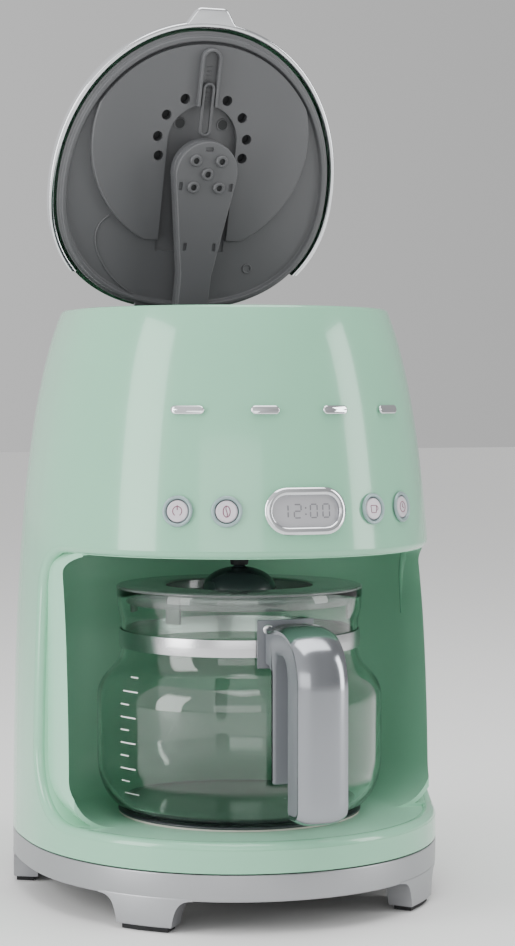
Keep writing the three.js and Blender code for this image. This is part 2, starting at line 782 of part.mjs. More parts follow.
function displayModule() {
  const area = block([-20, 20], [-200, -40], [controlHeight - 9, controlHeight + 9]);
  return frontLayer(bodyWall + 1, boardInset - gap).intersect(solid(area));
}

function buttonCollar() {
  const flange = rod(collarOuterRadius, 1.3, 20).translate(0, -1.3, 0);
  const barrel = rod(collarHole - gap, 4, 20).translate(0, 1, 0);
  return cut(joined(solid(flange), solid(barrel)), solid(rod(capRadius + gap + 0.1, 20, 20)));
}

function buttonCap() {
  const face = roundDisc(capRadius, 0, 5, 0.7, 16).rotateX(Math.PI / 2).translate(0, 3.4, 0);
  const stem = rod(2.5, 8, 8).translate(0, 6, 0);
  return joined(solid(face), solid(stem));
}

piece(machine, 'display_bezel', displayBezel(), looks.chrome);
piece(machine, 'display_lens', displayLens(), looks.silver);
piece(machine, 'display_module', displayModule(), looks.black);
piece(machine, 'control_board', controlBoard(), looks.board);
buttonSpots.forEach((x, i) => {
  const spot = onFront(x, controlHeight);
  piece(spot, `button_collar_${i + 1}`, buttonCollar(), looks.lightGrey);
  piece(spot, `button_cap_${i + 1}`, buttonCap(), looks.cap);
});
badgeSpots.forEach((x, i) => {
  const bar = frontPrism(oval(badgeWidth, badgeBarHeight), x, badgeHeight);
  piece(machine, `badge_bar_${i + 1}`, frontLayer(-badgeRise, -gap).intersect(bar), looks.chrome);
});

// ---------------------------------------------------------------- carafe

const carafe = new THREE.Group();
carafe.position.y = brewY;
machine.add(carafe);

// Outer profile of the glass from the middle of the base to the mouth, moved in by an inset.
function glassSide(inset) {
  const base = carafeBase + inset;
  const footRadius = bellyRadius - bellyRound;
  const side = [vec(0, base)];
  for (let a = 0; a <= 90; a += 22.5) {
    const out = (bellyRadius - footRadius) * Math.sin(radians(a));
    const up = (bellyLow - base) * (1 - Math.cos(radians(a)));
    side.push(vec(footRadius + out - inset, base + up));
  }
  const bend = (bellyHigh + collarLow) / 2;
  const shoulder = new THREE.CubicBezierCurve(
    vec(bellyRadius - inset, bellyHigh),
    vec(bellyRadius - inset, bend),
    vec(collarRadius - inset, bend),
    vec(collarRadius - inset, collarLow),
  );
  side.push(...shoulder.getPoints(4));
  const flare = (collarHigh + mouthTop) / 2;
  const neck = new THREE.CubicBezierCurve(
    vec(collarRadius - inset, collarHigh),
    vec(collarRadius - inset, flare),
    vec(mouthRadius - inset, flare - 6),
    vec(mouthRadius - inset, mouthTop),
  );
  side.push(...neck.getPoints(3));
  return side;
}

function carafeGlass() {
  const outside = glassSide(0);
  const inside = glassSide(glassWall).reverse();
  return solid(turned([...outside, ...inside], 28));
}

const lidRadius = mouthRadius;
const lidTop = mouthTop + lidPlateThickness;
const lidUnder = mouthTop + gap;
const skirtOuter = collarRadius - glassWall - slip;

function carafeLid() {
  const recessTop = lidTop - lidRecessDepth;
  const profile = [
    vec(8, recessTop - 2), vec(lidRecessRadius + 2, recessTop - 2), vec(lidRecessRadius + 2, lidUnder),
    vec(skirtOuter - 2, lidUnder), vec(skirtOuter - 2, mouthTop - lidSkirtDepth),
    vec(skirtOuter, mouthTop - lidSkirtDepth), vec(skirtOuter, lidUnder), vec(lidRadius, lidUnder),
    vec(lidRadius, lidTop - 0.5), vec(lidRadius - 0.5, lidTop), vec(lidRecessRadius, lidTop),
    vec(lidRecessRadius, recessTop), vec(8, recessTop), vec(8, recessTop - 2),
  ];
  return solid(turned(profile, 28));
}

// Dark dome that catches the coffee; a small hole at its top lets it through.
function lidDome() {
  const low = lidTop - lidRecessDepth + gap;
  const rise = domeTop - low;
  const curve = (radius, height) => {
    const points = [];
    for (let a = 0; a <= 75; a += 25) {
      points.push(vec(radius * Math.cos(radians(a)), low + height * Math.sin(radians(a)) ** 0.8));
    }
    points.push(vec(3, low + height));
    return points;
  };
  const outside = curve(domeRadius, rise);
  const inside = curve(domeRadius - 2, rise - 2).reverse();
  return solid(turned([...outside, ...inside, outside[0]], 20));
}

const bandInner = collarRadius + gap;
const bandOuter = bandInner + bandThickness;
const bracketInner = bandOuter + 1.6;
const bracketOuter = bracketInner + 2.6;
const bandMiddle = (collarLow + collarHigh) / 2;

function handleBracket() {
  const [low, high] = [bandMiddle - bracketHeight / 2 + 3, bandMiddle + bracketHeight / 2 + 3];
  const plate = solid(ring(bracketInner, bracketOuter, low, high, 64)).intersect(
    solid(block([-bracketWidth / 2, bracketWidth / 2], [-100, 0], [low - 1, high + 1])),
  );
  const boss = block([-8, 8], [-bracketInner - 1, -bandOuter - gap], [bandMiddle - 3, bandMiddle + 3]);
  return plate.add(solid(boss));
}

// Side view of the handle's outer face, drawn in by an inset; y is minus the distance from the axis.
function handleBack(path, inset) {
  const reach = handleReach - inset;
  const top = handleTop - inset;
  path.lineTo(-(handleReach - 34), top);
  path.bezierCurveTo(-(reach - 12), top, -reach, top - 12, -reach, top - 34);
  path.lineTo(-reach, handleFoot + 9);
}

const handleRoot = bracketOuter + gap;

function handleCover() {
  const outline = new THREE.Shape();
  outline.moveTo(-(handleRoot + 8), handleTop - 1);
  handleBack(outline, 0);
  outline.quadraticCurveTo(-handleReach, handleFoot, -(handleReach - 9), handleFoot);
  outline.lineTo(-(handleReach - gripThickness + 5), handleFoot);
  outline.lineTo(-(handleReach - gripThickness + 5), handleFoot + coverThickness);
  outline.lineTo(-(handleReach - 9), handleFoot + coverThickness);
  const inner = handleReach - coverThickness;
  outline.quadraticCurveTo(-inner, handleFoot + coverThickness, -inner, handleFoot + 9);
  outline.lineTo(-inner, handleTop - coverThickness - 34);
  const top = handleTop - coverThickness;
  outline.bezierCurveTo(-inner, top - 12, -(inner - 12), top, -(handleReach - 34), top);
  outline.lineTo(-(handleRoot + 8), handleTop - 1 - coverThickness);
  return solid(acrossX(outline, handleWidth, { curveSegments: 10 }));
}

// Grey core: root, arch, grip and the slim strap that runs down beside the glass.
function handleGrip() {
  const inset = coverThickness + gap;
  const root = handleRoot;
  const strapIn = bellyRadius + 1.5;
  const strapOut = strapIn + strapThickness;
  const gripIn = handleReach - gripThickness;
  const arch = handleTop - 17;
  const outline = new THREE.Shape();
  outline.moveTo(-root, handleTop - 6);
  outline.lineTo(-(root + 8), handleTop - 1 - inset);
  handleBack(outline, inset);
  const low = handleFoot + inset;
  outline.quadraticCurveTo(-(handleReach - inset), low, -(handleReach - 9), low);
  outline.lineTo(-(gripIn + 4), handleFoot + inset);
  outline.quadraticCurveTo(-gripIn, handleFoot + inset, -gripIn, handleFoot + inset + 4);
  outline.lineTo(-gripIn, arch - 12);
  outline.quadraticCurveTo(-gripIn, arch, -(gripIn - 10), arch);
  outline.quadraticCurveTo(-strapOut, arch, -strapOut, arch - 10);
  outline.lineTo(-strapOut, strapFoot + strapThickness / 2);
  const strapRound = strapThickness / 2;
  outline.absarc(-(strapIn + strapOut) / 2, strapFoot + strapRound, strapRound, Math.PI, 2 * Math.PI);
  outline.lineTo(-strapIn, bandMiddle - 12);
  outline.lineTo(-root, bandMiddle - 8);
  return solid(acrossX(outline, handleWidth - 2, { curveSegments: 10 }));
}

piece(carafe, 'carafe_glass', carafeGlass(), looks.glass);
piece(carafe, 'carafe_band', solid(ring(bandInner, bandOuter, collarLow, collarHigh, 36)), looks.steel);
piece(carafe, 'handle_bracket', handleBracket(), looks.lightGrey);
piece(carafe, 'handle_grip', handleGrip(), looks.lightGrey);
piece(carafe, 'handle_cover', handleCover(), looks.chrome);
piece(carafe, 'carafe_lid', carafeLid(), looks.smoke);
piece(carafe, 'carafe_lid_dome', lidDome(), looks.slate);

// ---------------------------------------------------------------- basket, filter and drip stop

const basket = new THREE.Group();
basket.position.y = brewY;
machine.add(basket);

const basketFloor = bayTop + linerRim + 6;
const basketRimLow = deckTop + gap;
const basketRimHigh = basketRimLow + 3;
const outletLow = bayTop + 2;
const stopLift = 3; // how far the plunger stands open above its seat

function filterHolder() {
  const outer = [
    vec(outletRadius - 2, outletLow), vec(outletRadius, outletLow), vec(outletRadius, basketFloor - 2),
    vec(basketFootRadius, basketFloor), vec(basketMouthRadius + basketWall, basketRimLow),
    vec(basketRimRadius, basketRimLow), vec(basketRimRadius, basketRimHigh),
  ];
  const inner = [
    vec(basketMouthRadius, basketRimHigh), vec(basketFootRadius - basketWall, basketFloor + basketWall),
    vec(stopStemRadius + slip, basketFloor + basketWall), vec(stopStemRadius + slip, basketFloor - 2),
    vec(outletRadius - 2, basketFloor - 2), vec(outletRadius - 2, outletLow),
  ];
  return solid(turned([...outer, ...inner], 24));
}

const filterGap = 1.2;
const filterLow = basketFloor + basketWall + stopLift + 6;

// A cone that hangs in the holder by its rim, with slots for the mesh windows.
function permanentFilter() {
  const spread = basketMouthRadius - basketFootRadius + basketWall;
  const slope = spread / (basketRimHigh - basketFloor - basketWall);
  const rimLow = basketRimHigh + gap;
  const mouth = basketMouthRadius - filterGap;
  const foot = basketFootRadius - basketWall - filterGap + slope * (filterLow - basketFloor - basketWall);
  const profile = [
    vec(0, filterLow), vec(foot, filterLow), vec(mouth, rimLow), vec(basketMouthRadius + 2, rimLow),
    vec(basketMouthRadius + 2, rimLow + 1.5), vec(mouth - filterWall, rimLow + 1.5),
    vec(foot - filterWall, filterLow + filterWall), vec(0, filterLow + filterWall),
  ];
  return solid(turned(profile, 24));
}

// Plunger that the carafe's dome holds up; its collar seats on the basket floor when the carafe is away.
function dripStop() {
  const seat = basketFloor + basketWall + stopLift;
  const tipLow = domeTop + gap;
  const profile = [
    vec(0, tipLow), vec(5, tipLow), vec(stopTipRadius, outletLow - 1), vec(stopTipRadius, outletLow + 1),
    vec(stopStemRadius, outletLow + 1), vec(stopStemRadius, seat), vec(6, seat), vec(6, seat + 2),
    vec(0, seat + 2),
  ];
  return solid(turned(profile, 16));
}

piece(basket, 'filter_holder', filterHolder(), looks.black);
piece(basket, 'permanent_filter', permanentFilter(), looks.lightGrey);
piece(basket, 'drip_stop', dripStop(), looks.black);

// ---------------------------------------------------------------- lid

// The lid's pieces are drawn closed, about the hinge line; +Z is up and the front lies towards -Y.
const lid = new THREE.Group();
lid.position.set(0, lidHingeY, hingeZ);
lid.rotation.x = -radians(lidOpenAngle);
machine.add(lid);

const lidSegments = 36;

// Squares a turned shape to the lid's plan and centres it on the plan axis.
const lidForm = (geometry) => solid(squared(geometry, lidPlan).translate(0, -lidHingeY, 0));

// Something drawn at a distance from the hinge towards the front.
const ahead = (geometry, distance) => geometry.translate(0, -distance, 0);

function lidShell() {
  const low = trimHeight + gap;
  const curve = (radius, height) => {
    const points = [];
    for (let a = 0; a <= 90; a += 15) {
      const out = Math.cos(radians(a)) ** 0.45;
      points.push(vec(a === 90 ? 0 : radius * out, low + height * Math.sin(radians(a)) ** 0.9));
    }
    return points;
  };
  const outside = curve(lidHalfWidth, lidHeight - low);
  const inside = curve(lidHalfWidth - lidWall, lidHeight - low - lidWall).reverse();
  return lidForm(turned([...outside, ...inside, outside[0]], lidSegments));
}

// Chrome band round the front and sides of the lid, with the opening tab.
function lidTrim() {
  const band = lidForm(ring(lidHalfWidth - 1, lidHalfWidth - 1 + trimWidth, 0, trimHeight, lidSegments));
  const front = -lidHingeY - lidPlan.front * lidHalfWidth;
  const tip = front - tabReach;
  const tab = new THREE.Shape();
  tab.moveTo(-tabBaseWidth / 2, front + 1);
  tab.bezierCurveTo(-tabTipWidth / 2 - 3, front - 2, -tabTipWidth / 2 - 2, tip, -tabTipWidth / 2 + 3, tip);
  tab.lineTo(tabTipWidth / 2 - 3, tip);
  tab.bezierCurveTo(tabTipWidth / 2 + 2, tip, tabTipWidth / 2 + 3, front - 2, tabBaseWidth / 2, front + 1);
  const rear = solid(block([-200, 200], [-26, 60], [-10, 40]));
  return cut(band.add(solid(upwards(tab, 0, trimHeight))), rear);
}

const discAhead = lidHingeY - discY; // the round panel's centre, from the hinge
const linerHalf = lidHalfWidth - lidWall - gap;
const armReach = armPivotY - armHeadY;

// Outline (x, y) of the stepped round panel: a circle with two flats across it.
function discPanel() {
  const half = Math.acos(discFlat / discRadius);
  const outline = new THREE.Shape();
  outline.absarc(0, 0, discRadius, -Math.PI / 2 + half, Math.PI / 2 - half);
  outline.absarc(0, 0, discRadius, Math.PI / 2 + half, 1.5 * Math.PI - half);
  return outline;
}

// The recess for the spray head: round at the front and open towards the hinge.
function headRecess(low, high) {
  const outline = new THREE.Shape();
  outline.moveTo(-recessRadius - 4, discRadius);
  outline.lineTo(-recessRadius, 0);
  outline.absarc(0, 0, recessRadius, Math.PI, 2 * Math.PI);
  outline.lineTo(recessRadius + 4, discRadius);
  return upwards(outline, low, high, 6);
}

function steamHoles() {
  const holes = [];
  const hole = (angle, radius) => {
    const [x, y] = [radius * Math.sin(radians(angle)), radius * Math.cos(radians(angle))];
    return solid(ahead(disc(steamHoleRadius, -20, 40, 8).translate(x, 0, 0), discAhead + y));
  };
  for (const side of [-1, 1]) {
    for (const angle of [28, 58, 86, 110]) holes.push(hole(side * angle, steamRingRadius));
    holes.push(hole(side * 55, recessRadius - 5.5));
  }
  return holes;
}

// Two ridges that guide the link, joined round the front end.
function linkRail() {
  const outline = roundedRectangle(railWidth, railFar - railNear + railWidth, railWidth / 2 - 0.05);
  const slot = roundedRectangle(linkWidth + 2 * slip, railFar - railNear + railWidth - 4, linkWidth / 2);
  const middle = (railNear + railFar) / 2;
  const low = -discStep - railDepth;
  const ridges = solid(ahead(upwards(outline, low, -discStep + 1), middle)).subtract(
    solid(ahead(upwards(slot, low - 1, -discStep), middle)),
  );
  return ridges.subtract(solid(ahead(block([-20, 20], [0, 30], [low - 1, 0]), railNear)));
}

function lidLiner() {
  const lip = 3;
  const tray = lidForm(turned([
    vec(0, 0), vec(linerHalf - 6, 0), vec(linerHalf - 5, -lip), vec(linerHalf - 2.5, -lip),
    vec(linerHalf - 2, 0), vec(linerHalf, 0.3), vec(linerHalf, linerPlate), vec(0, linerPlate),
  ], lidSegments));
  const inLip = lidForm(turned([
    vec(0, -20), vec(linerHalf - 6, -20), vec(linerHalf - 6, 20), vec(0, 20),
  ], lidSegments));
  const panel = solid(ahead(upwards(discPanel(), -discStep, linerPlate, 12), discAhead)).intersect(inLip);
  const backing = solid(ahead(headRecess(-1, linerPlate + recessDepth - 1), discAhead)).intersect(
    solid(ahead(disc(discRadius - 2, -5, 20, 48), discAhead)),
  );
  const recess = headRecess(-20, recessDepth - discStep);
  const holes = steamHoles();
  const trimmed = cut(joined(tray, panel, backing), solid(ahead(recess, discAhead)), ...holes);
  let made = trimmed.add(linkRail());
  for (const side of [-1, 1]) {
    const [near, far] = knuckleX;
    const length = far - near;
    const middle = side * (near + far) / 2;
    const barrel = rod(knuckleRadius, length, 20).rotateZ(Math.PI / 2).translate(middle, 0, 0);
    const arm = block([middle - length / 2, middle + length / 2], [-16, 0], [0, linerPlate]);
    const bore = rod(pinRadius + gap, length + 2, 16).rotateZ(Math.PI / 2).translate(middle, 0, 0);
    made = joined(made, solid(barrel), solid(arm)).subtract(solid(bore));
  }
  return made;
}

piece(lid, 'lid_shell', lidShell(), looks.green);
piece(lid, 'lid_trim', lidTrim(), looks.chrome);
piece(lid, 'lid_liner', lidLiner(), looks.grey);

// Fixed strip behind the lid with the cheeks that hold the hinge pins.
const cheekX = [knuckleX[1] + 2, knuckleX[1] + 7];

function hingeCover() {
  const lidBack = lidHingeY + knuckleRadius + 1;
  const strip = solid(bodyForm(bodyWall + gap, bodyTop - 8, bodyTop)).intersect(solid(joinedBlocks([
    [[-200, 200], [lidBack, 200], [bodyTop - 3, bodyTop]],
    [[-200, 200], [lidBack, lidBack + 2], [bodyTop - 8, bodyTop]],
  ])));
  let made = strip;
  for (const side of [-1, 1]) {
    const xs = [side * cheekX[0], side * cheekX[1]].sort((a, b) => a - b);
    const zs = [bodyTop - 8, hingeZ + knuckleRadius - 0.5];
    made = made.add(solid(block(xs, [lidHingeY - knuckleRadius, lidBack + 1], zs)));
  }
  const bore = rod(pinRadius + gap, 2 * cheekX[1] + 2, 16).rotateZ(Math.PI / 2);
  return made.subtract(solid(bore.translate(0, lidHingeY, hingeZ)));
}

// Several boxes given by their limits, as one geometry source.
function joinedBlocks(limits) {
  return geometryOf(joined(...limits.map(([xs, ys, zs]) => solid(block(xs, ys, zs)))));
}

piece(machine, 'hinge_cover', hingeCover(), looks.green);
for (const [side, name] of [[-1, 'hinge_pin_left'], [1, 'hinge_pin_right']]) {
  const length = cheekX[1] - knuckleX[0];
  const pin = solid(rod(pinRadius, length, 16).rotateZ(Math.PI / 2));
  piece(machine, name, pin, looks.steel).position.set(side * (knuckleX[0] + cheekX[1]) / 2, lidHingeY, hingeZ);
}

// ---------------------------------------------------------------- spray arm

// Drawn closed, about its pivot, pointing to the front.
const sprayArm = new THREE.Group();
sprayArm.position.set(0, armPivotY, armPivotZ);
sprayArm.rotation.x = -radians(armOpenAngle);
machine.add(sprayArm);

const armHalf = armThickness / 2;

// Plan of the arm from its root to the round head.
function armOutline(inset, root) {
  const outline = new THREE.Shape();
  const [side, radius] = [armRootWidth / 2 - inset, armHeadRadius - inset];
  const neck = -armReach * neckShare;
  const tilt = Math.atan2(armHeadRadius - armRootWidth / 2, armReach * (1 - neckShare));
  outline.moveTo(-side, -root);
  outline.lineTo(-side, neck);
  outline.absarc(0, -armReach, radius, Math.PI - tilt, 2 * Math.PI + tilt);
  outline.lineTo(side, neck);
  outline.lineTo(side, -root);
  return outline;
}

const nozzleSpots = [[0, 0], [-1, -1], [1, -1], [-1, 1], [1, 1]].map(([x, y]) => (
  [x * nozzlePitch, y * nozzlePitch]
));

// Small windows through the arm: place across and along from the head's centre, width and length.
const windowSpots = [[0, -16, 5, 3], [-17, 8, 3, 5], [17, 8, 3, 5], [-10.5, 46, 3, 5], [10.5, 46, 3, 5]];

function sprayArmBody() {
  const plate = solid(upwards(armOutline(0, 0), -armHalf, armSplit - armHalf, 8));
  const root = rod(armHalf, armRootWidth, 16).rotateZ(Math.PI / 2);
  const axle = rod(3, armRootWidth + 8, 16).rotateZ(Math.PI / 2);
  const hollow = upwards(armOutline(armWall, armHalf + 2), armWall - armHalf, armSplit, 8);
  const nozzles = nozzleSpots.map(([x, y]) => (
    solid(disc(nozzleRadius, -armHalf - 2, armWall - armHalf, 12).translate(x, y - armReach, 0))
  ));
  const bores = nozzleSpots.map(([x, y]) => (
    solid(disc(nozzleBore, -armHalf - 4, 0, 8).translate(x, y - armReach, 0))
  ));
  const windows = windowSpots.map(([x, y, width, length]) => solid(
    block([-width / 2, width / 2], [-length / 2, length / 2], [-armHalf - 1, 0]).translate(x, y - armReach, 0),
  ));
  const shell = cut(plate, solid(hollow));
  return cut(joined(shell, ...nozzles, solid(root), solid(axle)), ...bores, ...windows);
}

function sprayArmCover() {
  const low = armSplit - armHalf + gap;
  const plate = solid(upwards(armOutline(0, armHalf + 1), low, armHalf, 8));
  const hollow = upwards(armOutline(armWall, armHalf + 1 + armWall), low - 1, armHalf - armWall, 8);
  return plate.subtract(solid(hollow));
}

piece(sprayArm, 'spray_arm_body', sprayArmBody(), looks.grey);
piece(sprayArm, 'spray_arm_cover', sprayArmCover(), looks.grey);

// Two cheeks on the deck with the holes that the arm's axles turn in.
function armBracket() {
  const [inner, outer] = [armRootWidth / 2 + gap, armRootWidth / 2 + 4];
  const low = deckTop + gap;
  const foot = block([-outer - 4, outer + 4], [armPivotY - 9, armPivotY + 9], [low, low + 2]);
  let made = solid(foot);
  for (const side of [-1, 1]) {
    const xs = [side * inner, side * outer].sort((a, b) => a - b);
    const ear = rod(7, outer - inner, 16).rotateZ(Math.PI / 2);
    ear.translate(side * (inner + outer) / 2, armPivotY, armPivotZ);
    made = joined(made, solid(block(xs, [armPivotY - 7, armPivotY + 7], [low, armPivotZ])), solid(ear));
  }
  return made.subtract(solid(rod(3 + gap, 60, 20).rotateZ(Math.PI / 2).translate(0, armPivotY, armPivotZ)));
}
piece(machine, 'arm_bracket', armBracket(), looks.grey);

// Loop that runs in the lid's rail and draws the arm's head along as the lid turns.
function sprayLink() {
  const tilt = radians(lidOpenAngle);
  const openAngle = radians(armOpenAngle);
  const headY = armPivotY - armReach * Math.cos(openAngle) - lidHingeY;
  const headZ = armPivotZ + armReach * Math.sin(openAngle) - hingeZ;
  const headAhead = -headY * Math.cos(tilt) + headZ * Math.sin(tilt);
  const start = headAhead + armHeadRadius + 2 * gap;
  const end = railFar + railWidth / 2 - 2 - linkTravel - 2;
  const top = -discStep - 2 * gap;
  const length = end - start;
  const outer = roundedRectangle(linkWidth, length, linkWidth / 2 - 0.05);
  const inner = roundedRectangle(linkWidth - 3.6, length - 3.6, linkWidth / 2 - 1.9);
  const frame = (outline, low, high) => solid(ahead(upwards(outline, low, high, 4), start + length / 2));
  return frame(outer, top - linkThickness, top).subtract(frame(inner, top - linkThickness - 1, top + 1));
}
piece(lid, 'spray_link', sprayLink(), looks.grey);

// ---------------------------------------------------------------- the whole machine

const coffeeMaker = new THREE.Group();
coffeeMaker.name = 'drip_coffee_maker';
coffeeMaker.add(machine);

export default coffeeMaker;
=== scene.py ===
import json
import math

import bmesh
import bpy
from mathutils import Matrix, Vector


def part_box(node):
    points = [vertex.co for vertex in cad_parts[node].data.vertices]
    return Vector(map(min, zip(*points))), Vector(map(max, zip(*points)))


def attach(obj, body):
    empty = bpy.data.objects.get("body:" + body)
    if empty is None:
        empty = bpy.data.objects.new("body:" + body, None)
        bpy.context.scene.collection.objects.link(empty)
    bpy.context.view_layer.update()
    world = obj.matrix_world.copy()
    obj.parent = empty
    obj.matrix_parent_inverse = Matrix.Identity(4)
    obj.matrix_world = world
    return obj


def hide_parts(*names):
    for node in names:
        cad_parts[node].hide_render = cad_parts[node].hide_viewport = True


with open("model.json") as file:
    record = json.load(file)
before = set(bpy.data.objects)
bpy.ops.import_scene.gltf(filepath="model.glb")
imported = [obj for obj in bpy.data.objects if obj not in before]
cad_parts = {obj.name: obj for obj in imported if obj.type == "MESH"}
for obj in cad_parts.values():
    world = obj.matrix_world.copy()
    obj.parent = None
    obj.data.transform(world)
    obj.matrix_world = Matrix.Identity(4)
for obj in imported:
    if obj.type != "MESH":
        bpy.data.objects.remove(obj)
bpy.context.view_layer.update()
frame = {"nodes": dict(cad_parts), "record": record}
record = frame["record"]
mm = 0.001


def shifted(x, y, z=0):
    return Matrix.Translation((x, y, z))


def swung(degrees, axis):
    return Matrix.Rotation(math.radians(degrees), 4, axis)


# shapes are drawn in plan millimetres, measured from the body's own axis; toRow carries them to their place
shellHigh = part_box("housing_shell")[1]
plateLow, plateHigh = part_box("warming_plate")
baseHalf = shellHigh.x / mm
planShift = shellHigh.y / mm - baseHalf  # the back of the body lies one half width behind its axis
shellTop = shellHigh.z / mm
brewY = (plateLow.y + plateHigh.y) / 2 / mm - planShift
toRow = Matrix.Scale(mm, 4) @ shifted(0, planShift)
atBrew = toRow @ shifted(0, brewY)
armTurn = -71.6  # the arm's swing when open, in degrees, just inside its joint's limit


def hungOn(name, turn=None):
    # where a turned part is drawn closed: at its joint, swung back to its rest place
    joint = next(j for j in record["behaviour"]["joints"] if j["name"] == name)
    degrees = min(joint["range_deg"]) if turn is None else turn
    return Matrix.Translation(joint["pos_m"]) @ swung(degrees, "X") @ Matrix.Scale(mm, 4)


lidPlace = hungOn("lid_hinge")
armPlace = hungOn("spray_arm_pivot", armTurn)


def colour(code):
    # sRGB hex to linear
    parts = [int(code[i:i + 2], 16) / 255 for i in (0, 2, 4)]
    return [p / 12.92 if p <= 0.04045 else ((p + 0.055) / 1.055) ** 2.4 for p in parts] + [1]


def addNode(tree, kind, settings=None, links=None):
    # settings go to sockets by name or to the node's own fields; links name the socket that feeds each input
    node = tree.nodes.new(kind)
    for key, value in (settings or {}).items():
        if key in node.inputs:
            node.inputs[key].default_value = value
        else:
            setattr(node, key, value)
    for key, source in (links or {}).items():
        tree.links.new(source, node.inputs[key])
    return node


def finish(name, code, metallic=0.0, roughness=0.4, ior=1.5, patch=0.03, spread=0.05, grain=0.0, grainSize=0.4,
           coat=0.0, transmission=0.0, stretch=(1, 1, 1)):
    # patch: size of slow tone changes in metres; spread: how far roughness drifts; grainSize: bump pattern in mm
    material = bpy.data.materials.new(name)
    material.use_nodes = True
    tree = material.node_tree
    tree.nodes.clear()
    place = addNode(tree, "ShaderNodeTexCoord").outputs["Object"]
    slow = addNode(tree, "ShaderNodeTexNoise", {"Scale": 1 / patch, "Detail": 3.0}, {"Vector": place})
    base = Vector(colour(code)[:3])
    tone = addNode(tree, "ShaderNodeMixRGB", {
        "Color1": [*(base * (1 - spread / 2)), 1], "Color2": [*(base * (1 + spread / 2)), 1]}, {
        "Fac": slow.outputs["Fac"]})
    rough = addNode(tree, "ShaderNodeMapRange", {
        "To Min": max(0.01, roughness * (1 - spread)), "To Max": roughness * (1 + spread)}, {
        "Value": slow.outputs["Fac"]})
    shader = addNode(tree, "ShaderNodeBsdfPrincipled", {
        "Metallic": metallic, "IOR": ior, "Coat Weight": coat, "Coat Roughness": 0.04,
        "Transmission Weight": transmission}, {
        "Base Color": tone.outputs["Color"], "Roughness": rough.outputs["Result"]})
    if grain:
        stretched = addNode(tree, "ShaderNodeMapping", {"Scale": stretch}, {"Vector": place})
        fine = addNode(tree, "ShaderNodeTexNoise", {"Scale": 1000 / grainSize, "Detail": 2.0}, {
            "Vector": stretched.outputs["Vector"]})
        bump = addNode(tree, "ShaderNodeBump", {"Strength": grain, "Distance": 0.00005}, {
            "Height": fine.outputs["Fac"]})
        tree.links.new(bump.outputs["Normal"], shader.inputs["Normal"])
    out = addNode(tree, "ShaderNodeOutputMaterial", None, {"Surface": shader.outputs["BSDF"]})
    out.is_active_output = True
    return material


